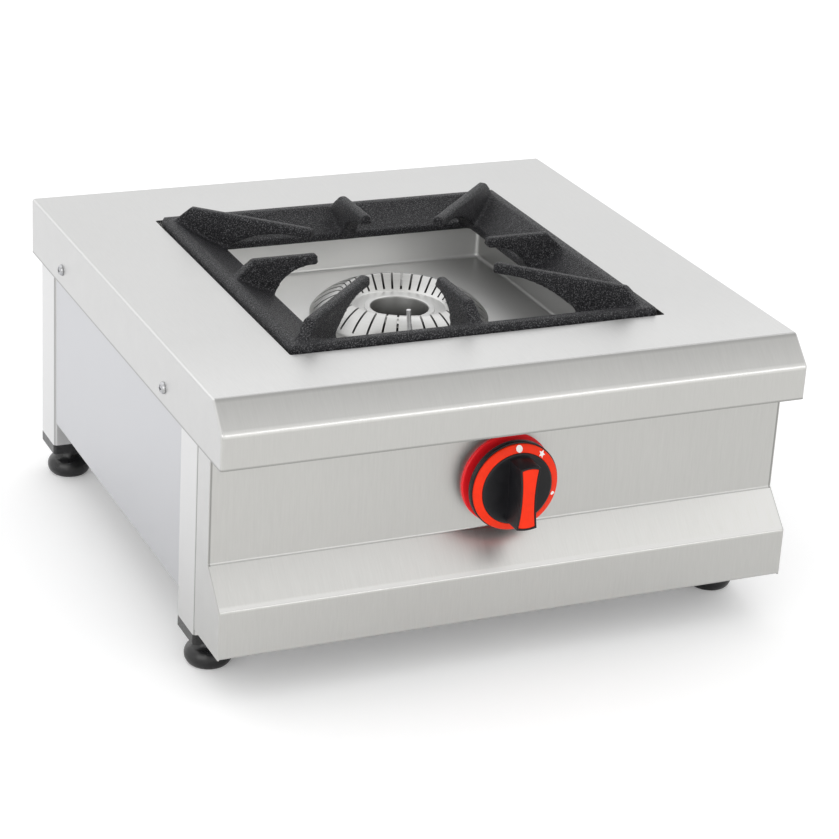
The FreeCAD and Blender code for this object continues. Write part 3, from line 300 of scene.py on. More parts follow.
class Surface(Graph):
    """One material, with its nodes and its surface shader."""

    def __init__(self, name: str) -> None:
        """Start a material.

        Args:
            name: The material's name.
        """
        self.material = bpy.data.materials.new(name)
        self.material.use_nodes = True
        super().__init__(self.material.node_tree)
        self.shader = self.tree.nodes["Principled BSDF"].inputs

    def lay(self, values: dict[str, Any]) -> None:
        """Feed the surface shader's inputs, by name."""
        for name, value in values.items():
            self.feed(self.shader[name], value)

    def group(self, tree: Tree, **values: Any) -> Any:
        """Outputs of a shared group that is given its inputs."""
        return self.add("ShaderNodeGroup", values, node_tree=tree).outputs

    def shade(self, share: Socket) -> None:
        """Scale the colour that is already laid by a share."""
        scaled = self.vector("SCALE", self.shader["Base Color"].links[0].from_socket)
        self.feed(scaled.inputs["Scale"], share)
        self.lay({"Base Color": scaled.outputs["Vector"]})

    def bump(self, height: Socket, strength: float, depth: float) -> None:
        """Raise the surface's shading by a height.

        Args:
            height: The height output.
            strength: How much of the bump shows.
            depth: Its depth in metres.
        """
        node = self.add("ShaderNodeBump", {"Height": height, "Strength": strength, "Distance": depth})
        self.lay({"Normal": node.outputs["Normal"]})


@dataclass(frozen=True)
class Finish:
    """A surface's colour and gloss, with soft patches; each kind of finish adds its own pattern."""

    colour: Colour
    roughness: float
    metallic: float = 0.0
    coat: float = 0.0
    specular: float = 0.5
    patches: float = 60.0
    tint: float = 0.08
    gloss: float = 0.25

    def material(self, name: str) -> bpy.types.Material:
        """Build the finish as a material.

        Args:
            name: The finish's name.

        Returns:
            The new material.
        """
        skin = Surface(f"{name} finish")
        skin.material.diffuse_color = (*self.colour, 1.0)
        skin.lay({"Metallic": self.metallic, "Coat Weight": self.coat, "Specular IOR Level": self.specular})
        self.pattern(skin)
        return skin.material

    def pattern(self, skin: Surface) -> None:
        """Lay soft patches over the colour and roughness."""
        self.spread(skin, skin.group(GROUPS.smear, Frequency=self.patches)["Patch"])

    def spread(self, skin: Surface, value: Socket) -> None:
        """Vary colour and roughness by the finish's tint and gloss.

        Args:
            skin: The material's surface.
            value: The noise that they follow.
        """
        dark = tuple(c * (1.0 - self.tint) for c in self.colour)
        light = tuple(min(1.0, c * (1.0 + self.tint)) for c in self.colour)
        smooth, dull = self.roughness * (1.0 - self.gloss), self.roughness * (1.0 + self.gloss)
        skin.lay({"Base Color": skin.mix(skin.ramp(value, *NOISE_SPAN, 0.0, 1.0), dark, light),
                  "Roughness": skin.ramp(value, *NOISE_SPAN, smooth, dull)})


@dataclass(frozen=True)
class BrushedSheet(Finish):
    """Stainless sheet with a fine grain."""

    metallic: float = 1.0
    patches: float = 9.0
    tint: float = 0.035
    gloss: float = 0.1
    grain: Grain = Grain.ACROSS_X
    grain_share: float = 0.7
    relief: float = 0.12
    depth: float = 0.02 * MM

    def pattern(self, skin: Surface) -> None:
        """Lay streaks and soft patches.

        Args:
            skin: The material's surface.
        """
        streak = skin.group(GROUPS.brushed, Frequency=self.grain.value)["Streak"]
        patch = skin.group(GROUPS.smear, Frequency=self.patches)["Patch"]
        self.spread(skin, skin.weigh(streak, patch, self.grain_share))
        skin.bump(streak, self.relief, self.depth)


@dataclass(frozen=True)
class EdgedSheet(BrushedSheet):
    """Sheet of the worktop, with a painted shade line along its cut edge, painted light and shade on its nose
    with a painted highlight on its fold, and its top painted lighter in front.
    """

    # band and cut: a painted shade line along the apron's lower edge, where the gap under it is dark
    band: Point2 = (160.5 * MM, 161.6 * MM)
    cut: float = 0.6
    shoulder: float = -182.2 * MM
    half_width: float = 198.6 * MM
    # slope, brow and fold: painted light and shade on the nose, darker towards its top edge, with a painted
    # highlight on its fold
    slope: Point2 = (186.0 * MM, 198.0 * MM)
    slope_gain: Point2 = (1.03, 0.88)
    brow: Point2 = (197.6 * MM, 199.2 * MM)
    brow_shade: float = 0.78
    fold: float = 182.9 * MM
    fold_reach: Point2 = (1.0 * MM, 2.4 * MM)
    fold_gain: float = 1.25
    # a painted lighter band on the top towards its front
    lit_front: Point2 = (-165.0 * MM, -90.0 * MM)
    lit_front_gain: float = 1.07
    top: float = 199.2 * MM

    def pattern(self, skin: Surface) -> None:
        """Lay the sheet's grain, the painted shade line on the cut edge, the painted light and shade of the
        nose and the painted lighter front.

        Args:
            skin: The material's surface.
        """
        super().pattern(skin)
        x, y, z = skin.xyz(skin.place())
        nose = skin.times(
            skin.ramp(z, *self.slope, *self.slope_gain),
            skin.ramp(z, *self.brow, 1.0, self.brow_shade),
            skin.ramp(skin.away(z, self.fold), *self.fold_reach, self.fold_gain, 1.0))
        front = skin.times(skin.math("LESS_THAN", y, self.shoulder),
                           skin.math("LESS_THAN", skin.away(x, 0.0), self.half_width))
        lit_front = skin.times(skin.math("GREATER_THAN", z, self.top), skin.ramp(y, *self.lit_front, 1.0, 0.0))
        # Painted light and shade: the nose and its fold, the lighter front of the top and the shade line on
        # the cut edge.
        skin.shade(skin.times(skin.inside(front, nose), skin.inside(lit_front, self.lit_front_gain),
                              skin.ramp(z, *self.band, self.cut, 1.0)))


@dataclass(frozen=True)
class LedgedSheet(BrushedSheet):
    """Sheet of the front, whose sloped ledge between two heights is painted lighter, more towards its right
    end and most on its fold, with painted shade towards its right end and in the seams beside the panel.
    """

    low: float = 66.0 * MM
    high: float = 87.0 * MM
    half_width: float = 197.2 * MM
    # gain and fold_gain paint the ledge lighter and its fold as a highlight; right_shade and seam_shade paint
    # shade towards the right end and in the seams
    gain: Point2 = (1.26, 1.54)
    right_shade: float = 0.945
    fold_reach: Point2 = (0.8 * MM, 2.2 * MM)
    fold_gain: float = 1.2
    seam: float = 196.8 * MM
    seam_reach: Point2 = (0.3 * MM, 0.8 * MM)
    seam_shade: float = 0.55

    def pattern(self, skin: Surface) -> None:
        """Lay the sheet's grain, the painted light on the ledge and its fold, and the painted shade towards
        the right end and in the seams beside the panel.

        Args:
            skin: The material's surface.
        """
        super().pattern(skin)
        x, _, z = skin.xyz(skin.place())
        wide = skin.away(x, 0.0)
        within = skin.math("LESS_THAN", wide, self.half_width)
        over, under = skin.math("GREATER_THAN", z, self.low), skin.math("LESS_THAN", z, self.high)
        fold = skin.ramp(skin.away(z, self.low), *self.fold_reach, 1.0, 0.0)
        seam = skin.ramp(skin.away(wide, self.seam), *self.seam_reach, 1.0, 0.0)
        above = skin.math("GREATER_THAN", z, self.high)
        ends = (x, -self.half_width, self.half_width)
        # Painted light on the ledge and its fold; painted shade towards the right end and in the seams.
        skin.shade(skin.times(
            skin.inside(skin.times(over, under, within), skin.ramp(*ends, *self.gain)),
            skin.inside(skin.times(fold, within), self.fold_gain),
            skin.ramp(*ends, 1.0, self.right_shade),
            skin.inside(skin.times(seam, above), self.seam_shade)))


@dataclass(frozen=True)
class PostTube(BrushedSheet):
    """Square tube of the four posts, with painted shade in the seams along its corners."""

    centre_x: float = 181.8 * MM
    centre_ys: Point2 = (-137.5 * MM, 167.5 * MM)
    reach: float = 14.4 * MM
    seam: float = 1.0 * MM
    # how dark the painted shade in the corner seams is
    corner_shade: float = 0.32

    def pattern(self, skin: Surface) -> None:
        """Lay the sheet's grain and the painted shade in the seams.

        Args:
            skin: The material's surface.
        """
        super().pattern(skin)
        x, y, _ = skin.xyz(skin.place())
        wide = skin.away(skin.away(x, 0.0), self.centre_x)
        deep = skin.math("MINIMUM", *(skin.away(y, centre) for centre in self.centre_ys))
        corner = skin.math("MINIMUM", wide, deep)
        # Painted shade in the seams along the tube's corners.
        skin.shade(skin.ramp(corner, self.reach, self.reach + self.seam, 1.0, self.corner_shade))


@dataclass(frozen=True)
class ShadedBasinSheet(BrushedSheet):
    """Scrubbed sheet of the spill basin, with painted shade towards its right wall."""

    metallic: float = 0.65
    # painted shade towards the right wall: where it starts, where it is darkest, and how dark
    shade_span: Point2 = (45.0 * MM, 106.0 * MM)
    basin_shade: float = 0.4
    rear_wall: Point2 = (105.0 * MM, 109.5 * MM)

    def pattern(self, skin: Surface) -> None:
        """Lay the sheet's grain and the painted shade, which leaves the rear wall unshaded.

        Args:
            skin: The material's surface.
        """
        super().pattern(skin)
        x, y, _ = skin.xyz(skin.place())
        # Painted shade towards the right wall, where the grate's dark side shades the basin and darkens its
        # reflections.
        side, rear = skin.ramp(x, *self.shade_span, 1.0, self.basin_shade), skin.ramp(y, *self.rear_wall, 0.0, 1.0)
        skin.shade(skin.math("MAXIMUM", side, rear))


@dataclass(frozen=True)
class Casting(Finish):
    """Black casting with a rough skin and flecks, whose lighter colour is a painted glint and whose lower
    roughness is real gloss.
    """

    # colour of the painted glints on the flecks
    glint_colour: Colour = (0.11, 0.11, 0.115)
    fleck_gloss: float = 0.75
    frequency: float = 1350.0
    relief: float = 0.9
    depth: float = 0.8 * MM

    def pattern(self, skin: Surface) -> None:
        """Lay the rough skin and its flecks, painted lighter as glints.

        Args:
            skin: The material's surface.
        """
        cast = skin.group(GROUPS.cast, Frequency=self.frequency)
        dull, bright = self.roughness, self.roughness * self.fleck_gloss
        # The flecks get a painted glint colour and a lower roughness.
        skin.lay({"Base Color": skin.mix(cast["Fleck"], self.colour, self.glint_colour),
                  "Roughness": skin.ramp(cast["Fleck"], 0.0, 1.0, dull, bright)})
        skin.bump(cast["Height"], self.relief, self.depth)


@dataclass(frozen=True)
class TurnedMetal(Finish):
    """Metal with turning marks round the burner's axis, painted lighter in its dish and with painted shade in
    its bore.
    """

    metallic: float = 1.0
    patches: float = 70.0
    tint: float = 0.06
    gloss: float = 0.2
    rings: float = 1400.0
    ring_share: float = 0.5
    # dish_shade paints the dish lighter than the petals; bore_shade paints shade inside the bore
    dish: Point2 = (33.0 * MM, 37.0 * MM)
    dish_shade: float = 1.2
    bore: Point2 = (19.9 * MM, 20.5 * MM)
    bore_shade: float = 0.52
    relief: float = 0.25
    depth: float = 0.03 * MM

    def pattern(self, skin: Surface) -> None:
        """Lay the rings, soft patches, the painted light of the dish and the painted shade of the bore.

        Args:
            skin: The material's surface.
        """
        marks = skin.group(GROUPS.turned, Frequency=self.rings)
        patch = skin.group(GROUPS.smear, Frequency=self.patches)["Patch"]
        self.spread(skin, skin.weigh(marks["Ring"], patch, self.ring_share))
        # Painted light in the dish and painted shade in the bore.
        skin.shade(skin.times(skin.ramp(marks["Radius"], *self.dish, self.dish_shade, 1.0),
                              skin.ramp(marks["Radius"], *self.bore, self.bore_shade, 1.0)))
        skin.bump(marks["Ring"], self.relief, self.depth)


@dataclass(frozen=True)
class ThreadedMetal(Finish):
    """Metal of the gas inlet, with a screw thread round a line along Y."""

    metallic: float = 1.0
    patches: float = 120.0
    centre: Point3 = (120.0 * MM, 0.0, 120.0 * MM)
    pitch: float = 1.8 * MM

    def pattern(self, skin: Surface) -> None:
        """Lay the thread and soft patches.

        Args:
            skin: The material's surface.
        """
        super().pattern(skin)
        x, y, z = skin.xyz(skin.vector("SUBTRACT", skin.place(), self.centre).outputs["Vector"])
        turned = skin.add("ShaderNodeCombineXYZ", {"X": x, "Y": z, "Z": y})
        thread = skin.group(GROUPS.thread, Place=turned.outputs[0], Pitch=self.pitch)
        skin.bump(thread["Ridge"], 1.0, self.pitch / 2)


@dataclass(frozen=True)
class Moulding(Finish):
    """Moulded plastic with a faint orange-peel surface."""

    patches: float = 140.0
    tint: float = 0.06
    gloss: float = 0.2
    peel: float = 1500.0
    relief: float = 0.15
    depth: float = 0.04 * MM

    def pattern(self, skin: Surface) -> None:
        """Lay soft patches and a fine relief."""
        super().pattern(skin)
        skin.bump(skin.group(GROUPS.cast, Frequency=self.peel)["Height"], self.relief, self.depth)


def turns(count: int) -> list[float]:
    """Angles that divide a full turn evenly, from 0."""
    return [FULL_TURN * k / count for k in range(count)]


def new_object(name: str, mesh: bpy.types.Mesh) -> bpy.types.Object:
    """Put a mesh into the scene.

    Args:
        name: The object's name.
        mesh: Its mesh, with its place in the vertices.

    Returns:
        The new object, at the origin.
    """
    thing = bpy.data.objects.new(name, mesh)
    bpy.context.scene.collection.objects.link(thing)
    return thing


def as_mesh(name: str, shape: bmesh.types.BMesh) -> bpy.types.Mesh:
    """Turn an edit mesh into a mesh and free it.

    Args:
        name: The mesh's name.
        shape: The edit mesh.

    Returns:
        The new mesh.
    """
    mesh = bpy.data.meshes.new(name)
    shape.to_mesh(mesh)
    shape.free()
    return mesh


def baked(thing: bpy.types.Object) -> bpy.types.Object:
    """Apply an object's modifiers to its mesh.

    Args:
        thing: The object.

    Returns:
        The same object, with no modifiers left.
    """
    graph = bpy.context.evaluated_depsgraph_get()
    mesh = bpy.data.meshes.new_from_object(thing.evaluated_get(graph), depsgraph=graph)
    mesh.name = thing.name
    thing.modifiers.clear()
    thing.data = mesh
    return thing


def smooth_by_angle(mesh: bpy.types.Mesh, degrees: float) -> None:
    """Shade a mesh smooth apart from edges that are sharper than an angle."""
    mesh.polygons.foreach_set("use_smooth", [True] * len(mesh.polygons))
    mesh.set_sharp_from_angle(angle=math.radians(degrees))


def welded_copy(node: str) -> bpy.types.Mesh:
    """Copy a CAD node's mesh with its loose triangles joined.

    Args:
        node: The CAD node's name.

    Returns:
        A new mesh with one vertex at each place.
    """
    shape = bmesh.new()
    shape.from_mesh(frame["nodes"][node].data)
    bmesh.ops.remove_doubles(shape, verts=shape.verts, dist=WELD)
    return as_mesh(f"{node}_look", shape)


def lathe_mesh(name: str, profile: Sequence[Point2], steps: int) -> bpy.types.Mesh:
    """Turn a closed outline about the Z axis.

    Args:
        name: The mesh's name.
        profile: Radius and height of each corner, in millimetres.
        steps: Facets round the axis.

    Returns:
        The closed mesh with outward normals.
    """
    shape = bmesh.new()
    rings = [[shape.verts.new((r * math.cos(turn) * MM, r * math.sin(turn) * MM, z * MM)) for r, z in profile]
             for turn in turns(steps)]
    count = len(profile)
    for k, here in enumerate(rings):
        there = rings[(k + 1) % steps]
        for i in range(count):
            j = (i + 1) % count
            shape.faces.new((here[i], there[i], there[j], here[j]))
    bmesh.ops.recalc_face_normals(shape, faces=shape.faces)
    return as_mesh(name, shape)


def arc(start: Point2, middle: Point2, end: Point2, steps: int) -> list[Point2]:
    """Points of the circle arc through three points.

    Args:
        start: First point.
        middle: A point on the way.
        end: Last point.
        steps: Number of stretches.

    Returns:
        The points, with both ends.
    """
    a, b, c = (complex(*p) for p in (start, middle, end))
    w = (c - a) / (b - a)
    centre = a + (b - a) * (w - abs(w) ** 2) / (w - w.conjugate())
    spoke = a - centre
    sweep = cmath.phase((b - centre) / spoke) + cmath.phase((c - centre) / (b - centre))
    points = (centre + spoke * cmath.rect(1.0, sweep * k / steps) for k in range(steps + 1))
    return [(point.real, point.imag) for point in points]


class PatternTree(Graph):
    """A Geometry Nodes tree with named inputs."""

    def __init__(self, name: str, inputs: dict[str, str]) -> None:
        """Open the tree.

        Args:
            name: The tree's name.
            inputs: Socket type of each input after the geometry, by name.
        """
        super().__init__(bpy.data.node_groups.new(name, "GeometryNodeTree"))
        face = self.tree.interface
        shape = {"Geometry": "NodeSocketGeometry"}
        for label, kind in {**shape, **inputs, "Material": "NodeSocketMaterial"}.items():
            face.new_socket(label, in_out="INPUT", socket_type=kind)
        face.new_socket("Geometry", in_out="OUTPUT", socket_type=shape["Geometry"])
        self.source = self.add("NodeGroupInput").outputs
        self.sink = self.add("NodeGroupOutput").inputs

    def cut(self, mesh: Any, cutters: Any, crossing: bool = False) -> Socket:
        """Cut shapes out of a mesh.

        Args:
            mesh: The mesh's geometry.
            cutters: The geometry to take away.
            crossing: Whether the cutters cross each other.

        Returns:
            The geometry that is left.
        """
        inputs = {"Mesh 1": mesh, "Mesh 2": cutters, "Self Intersection": crossing}
        node = self.add("GeometryNodeMeshBoolean", inputs, operation="DIFFERENCE", solver="EXACT")
        return node.outputs["Mesh"]

    def instances(self, points: Any, shape: Any, rotation: Any) -> Socket:
        """Set a shape on points and make it real.

        Args:
            points: The points.
            shape: The geometry to repeat.
            rotation: Rotation of each copy.

        Returns:
            The real geometry of all copies.
        """
        copies = self.add("GeometryNodeInstanceOnPoints",
                          {"Points": points, "Instance": shape, "Rotation": rotation}).outputs["Instances"]
        return self.add("GeometryNodeRealizeInstances", {"Geometry": copies}).outputs["Geometry"]

    def close(self, geometry: Socket) -> None:
        """Give the tree's geometry its material and put it out."""
        inputs = {"Geometry": geometry, "Material": self.source["Material"]}
        painted = self.add("GeometryNodeSetMaterial", inputs).outputs["Geometry"]
        self.feed(self.sink["Geometry"], painted)

    def apply(self, thing: bpy.types.Object, values: dict[str, Any]) -> bpy.types.Object:
        """Run the tree on an object and keep the result as its mesh.

        Args:
            thing: The object.
            values: The tree's inputs, by name.

        Returns:
            The same object with its new mesh.
        """
        modifier = thing.modifiers.new(self.tree.name, "NODES")
        modifier.node_group = self.tree
        sockets = {item.name: item.identifier for item in self.tree.interface.items_tree
                   if item.in_out == "INPUT"}
        for name, value in values.items():
            modifier[sockets[name]] = value
        return baked(thing)


@dataclass
class Dressing:
    """Finishes of the whole stove, one for each material slot."""

    finishes: dict[str, Finish]
    made: dict[str, bpy.types.Material] = field(default_factory=dict)

    def material(self, slot: str) -> bpy.types.Material:
        """Find or build a slot's material.

        Args:
            slot: The slot's name, or the name of a special finish.

        Returns:
            Its material.
        """
        if slot not in self.made:
            self.made[slot] = self.finishes[slot].material(slot)
        return self.made[slot]

    def paint(self, thing: bpy.types.Object, slot: str) -> None:
        """Give an object one finish, by its name."""
        thing.data.materials.clear()
        thing.data.materials.append(self.material(slot))

    def paint_frame(self, special: dict[str, str]) -> None:
        """Give every CAD node the finish of its slot.

        Args:
            special: Names of finishes for nodes that don't take their slot's own.
        """
        for part in frame["record"]["subparts"]:
            node = part["node"]
            self.paint(frame["nodes"][node], special.get(node, part["material_slot"]))


def stand_in(thing: bpy.types.Object, body: str, slot: str, *nodes: str) -> bpy.types.Object:
    """Let an object take the place of CAD nodes.

    Args:
        thing: The finished object.
        body: The CAD body it moves with.
        slot: The record's material slot; not used.
        nodes: The CAD nodes it replaces.

    Returns:
        The same object.
    """
    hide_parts(*nodes)
    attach(thing, body)
    return thing


@dataclass
class PanGrate:
    """Cast grate: the CAD form with a casting's soft edges, in millimetres."""

    voxel: float = 1.25
    softness: float = 0.5
    passes: int = 3

    def build(self, dressing: Dressing) -> bpy.types.Object:
        """Build the grate.

        Args:
            dressing: The stove's finishes.

        Returns:
            The grate's object.
        """
        thing = new_object("cast_grate", welded_copy("pan_grate"))
        remesh = thing.modifiers.new("Skin", "REMESH")
        remesh.mode = "VOXEL"
        remesh.voxel_size = self.voxel * MM
        relax = thing.modifiers.new("Round edges", "SMOOTH")
        relax.factor = self.softness
        relax.iterations = self.passes
        baked(thing)
        thing.data.polygons.foreach_set("use_smooth", [True] * len(thing.data.polygons))
        dressing.paint(thing, "grate_iron")
        return stand_in(thing, "grate", "grate_iron", "pan_grate")


@dataclass
class BurnerCrown:
    """Ring burner head whose flame slots repeat round its axis, in millimetres."""

    base: float = 163.0
    radius: float = 61.0
    edge: float = 166.5
    crest: float = 180.0
    crest_radius: float = 41.3
    crest_flat: float = 1.0
    shoulder: Point2 = (0.55, 0.36)
    dish: float = 170.0
    dish_radius: float = 32.5
    lip: float = 24.0
    lip_height: float = 1.0
    hole: float = 19.5
    wall: float = 3.0
    sleeve: float = 22.0
    sleeve_drop: float = 13.0
    spigot: Point2 = (46.2, 49.7)
    spigot_drop: float = 5.0
    ease: float = 0.3
    rim_steps: int = 14
    slots: int = 36
    slot_width: float = 1.5
    slot_floor: float = 169.0
    slot_margin: float = 1.0
    slot_start: float = 0.5
    steps: int = 216
    sharp: float = 28.0

    def outline(self) -> list[Point2]:
        """Outline of the crown's section, with its edges eased.

        Returns:
            Radius and height of its corners.
        """
        inner, outer = self.spigot
        sleeve_end, spigot_end = self.base - self.sleeve_drop, self.base - self.spigot_drop
        ceiling, lip_top = self.dish - self.wall, self.dish + self.lip_height
        underside = [
            (self.hole, sleeve_end), (self.sleeve, sleeve_end), (self.sleeve, ceiling),
            (self.dish_radius + self.wall / 2, ceiling), (self.crest_radius, self.crest - 2 * self.wall),
            (inner, self.crest - 3 * self.wall), (inner, spigot_end), (outer, spigot_end), (outer, self.base)]
        side = [(self.radius - self.ease, self.base), (self.radius, self.base + self.ease),
                (self.radius, self.edge - 2 * self.ease)]
        out, down = self.shoulder
        middle = (self.crest_radius + (self.radius - self.crest_radius) * out,
                  self.crest - (self.crest - self.edge) * down)
        rim = arc((self.radius - self.ease, self.edge), middle,
                  (self.crest_radius + self.crest_flat, self.crest), self.rim_steps)
        # The offsets below ease the edges of crest, dish, lip and bore.
        dish = [(self.crest_radius - 0.4, self.crest - 0.1),
                (self.crest_radius - self.crest_flat, self.crest - 0.5),
                (self.dish_radius + 0.5, self.dish + 0.5), (self.dish_radius - 0.2, self.dish)]
        lip = [(self.lip + self.ease, self.dish), (self.lip, self.dish + self.ease),
               (self.lip, lip_top - 0.2), (self.lip - self.ease, lip_top),
               (self.hole + 1.2, lip_top), (self.hole + 0.5, lip_top - 0.4), (self.hole, self.dish - 0.4)]
        return [*underside, *side, *rim, *dish, *lip]

    def tree(self) -> PatternTree:
        """Tree that cuts evenly turned slots out of a ring.

        Returns:
            The tree.
        """
        inputs = {"Count": "NodeSocketInt", "Slot Size": VECTOR, "Slot Place": VECTOR}
        pattern = PatternTree("Flame slots", inputs)
        count = pattern.source["Count"]
        block = pattern.add("GeometryNodeMeshCube", {"Size": pattern.source["Slot Size"]})
        moved = pattern.add("GeometryNodeTransform", {
            "Geometry": block.outputs["Mesh"], "Translation": pattern.source["Slot Place"]})
        points = pattern.add("GeometryNodePoints", {"Count": count})
        step = pattern.math("DIVIDE", FULL_TURN, count)
        place = pattern.math("ADD", pattern.add("GeometryNodeInputIndex").outputs["Index"], self.slot_start)
        turn = pattern.add("ShaderNodeCombineXYZ", {"Z": pattern.times(place, step)})
        cutters = pattern.instances(points.outputs["Points"], moved.outputs["Geometry"], turn.outputs[0])
        pattern.close(pattern.cut(pattern.source["Geometry"], cutters))
        return pattern

    def build(self, dressing: Dressing) -> bpy.types.Object:
        """Build the crown.

        Args:
            dressing: The stove's finishes.

        Returns:
            The crown's object.
        """
        thing = new_object("slotted_crown", lathe_mesh("slotted_crown", self.outline(), self.steps))
        inner, outer = self.dish_radius + self.slot_margin, self.radius + self.slot_margin
        low, high = self.slot_floor, self.crest + self.slot_margin
        self.tree().apply(thing, {
            "Count": self.slots,
            "Slot Size": ((outer - inner) * MM, self.slot_width * MM, (high - low) * MM),
            "Slot Place": ((outer + inner) / 2 * MM, 0.0, (high + low) / 2 * MM),
            "Material": dressing.material("crown_aluminium")})
        smooth_by_angle(thing.data, self.sharp)
        return stand_in(thing, "crown", "crown_aluminium", "burner_crown")


@dataclass
class ApronScrews:
    """Pan head screws on the side aprons, one shape set on four points, in millimetres."""

    head_radius: float = 4.0
    head_height: float = 2.4
    rim: float = 0.5
    ease: float = 0.2
    dome: Point2 = (0.75, 0.82)
    dome_steps: int = 10
    core: float = 0.02
    steps: int = 48
    cross_length: float = 4.4
    cross_width: float = 0.9
    cross_depth: float = 1.2
    shank_radius: float = 2.0
    shank: float = 11.0
    height: float = 172.0
    places: Point2 = (-95.0, 125.0)
    half_width: float = 200.0
    sharp: float = 35.0

    def head(self) -> bpy.types.Mesh:
        """One screw with its head along +Z and its seat at the origin.

        Returns:
            The screw's mesh, before its cross is cut.
        """
        out, up = self.dome
        top = arc((self.head_radius, self.rim), (self.head_radius * out, self.head_height * up),
                  (self.core, self.head_height), self.dome_steps)
        profile = [(self.core, -self.shank), (self.shank_radius, -self.shank), (self.shank_radius, 0.0),
                   (self.head_radius - self.ease, 0.0), (self.head_radius, self.ease), *top]
        return lathe_mesh("Screw", profile, self.steps)

    def tree(self) -> PatternTree:
        """Tree that cuts the cross and sets the screw on points.

        Returns:
            The tree.
        """
        inputs = {"Screw": "NodeSocketObject", "Cross Size": VECTOR, "Cross Place": VECTOR}
        pattern = PatternTree("Screw set", inputs)
        screw = pattern.add("GeometryNodeObjectInfo", {"Object": pattern.source["Screw"]},
                            transform_space="ORIGINAL")
        arm = pattern.add("GeometryNodeMeshCube", {"Size": pattern.source["Cross Size"]})
        arms = pattern.add("GeometryNodeJoinGeometry")
        for turn in (0.0, QUARTER_TURN):
            placed = pattern.add("GeometryNodeTransform", {
                "Geometry": arm.outputs["Mesh"], "Translation": pattern.source["Cross Place"],
                "Rotation": (0.0, 0.0, turn)})
            pattern.feed(arms.inputs["Geometry"], placed.outputs["Geometry"])
        crossed = pattern.cut(screw.outputs["Geometry"], arms.outputs["Geometry"], crossing=True)
        side = pattern.add("GeometryNodeInputNamedAttribute", {"Name": "side"}, data_type="FLOAT")
        lean = pattern.add("ShaderNodeCombineXYZ", {
            "Y": pattern.times(side.outputs["Attribute"], QUARTER_TURN)})
        points = pattern.add("GeometryNodeMeshToPoints", {"Mesh": pattern.source["Geometry"]})
        pattern.close(pattern.instances(points.outputs["Points"], crossed, lean.outputs[0]))
        return pattern

    def build(self, dressing: Dressing) -> bpy.types.Object:
        """Build the four screws as one object.

        Args:
            dressing: The stove's finishes.

        Returns:
            The screws' object.
        """
        spots = [(side, y) for side in (-1.0, 1.0) for y in self.places]
        mesh = bpy.data.meshes.new("pan_head_screws")
        places = [(side * self.half_width * MM, y * MM, self.height * MM) for side, y in spots]
        mesh.from_pydata(places, [], [])
        mesh.attributes.new("side", "FLOAT", "POINT").data.foreach_set("value", [side for side, _ in spots])
        thing = new_object("pan_head_screws", mesh)
        pattern_screw = new_object("screw_pattern", self.head())
        self.tree().apply(thing, {
            "Screw": pattern_screw,
            "Cross Size": (self.cross_length * MM, self.cross_width * MM, 2 * self.cross_depth * MM),
            "Cross Place": (0.0, 0.0, self.head_height * MM),
            "Material": dressing.material("screw_steel")})
        bpy.data.objects.remove(pattern_screw)
        smooth_by_angle(thing.data, self.sharp)
        return stand_in(thing, "casing", "bright_steel", "apron_screws")


@dataclass
class SoftEdges:
    """CAD nodes shown with small rounded edges, as mouldings have, in millimetres and degrees."""

    width: float = 0.5
    segments: int = 3
    angle: float = 32.0
    flat: float = 1.0
    sharp: float = 40.0

    def build(self, node: str, body: str, slot: str, dressing: Dressing) -> bpy.types.Object:
        """Build a node's look.

        Args:
            node: The CAD node.
            body: The CAD body it belongs to.
            slot: Its material slot.
            dressing: The stove's finishes.

        Returns:
            The rounded object.
        """
        mesh = welded_copy(node)
        shape = bmesh.new()
        shape.from_mesh(mesh)
        bmesh.ops.dissolve_limit(
            shape, angle_limit=math.radians(self.flat), verts=shape.verts, edges=shape.edges)
        shape.to_mesh(mesh)
        shape.free()
        thing = new_object(f"{node}_soft", mesh)
        bevel = thing.modifiers.new("Rounded edges", "BEVEL")
        bevel.width = self.width * MM
        bevel.segments = self.segments
        bevel.limit_method = "ANGLE"
        bevel.angle_limit = math.radians(self.angle)
        bevel.use_clamp_overlap = True
        baked(thing)
        smooth_by_angle(thing.data, self.sharp)
        dressing.paint(thing, slot)
        return stand_in(thing, body, slot, node)


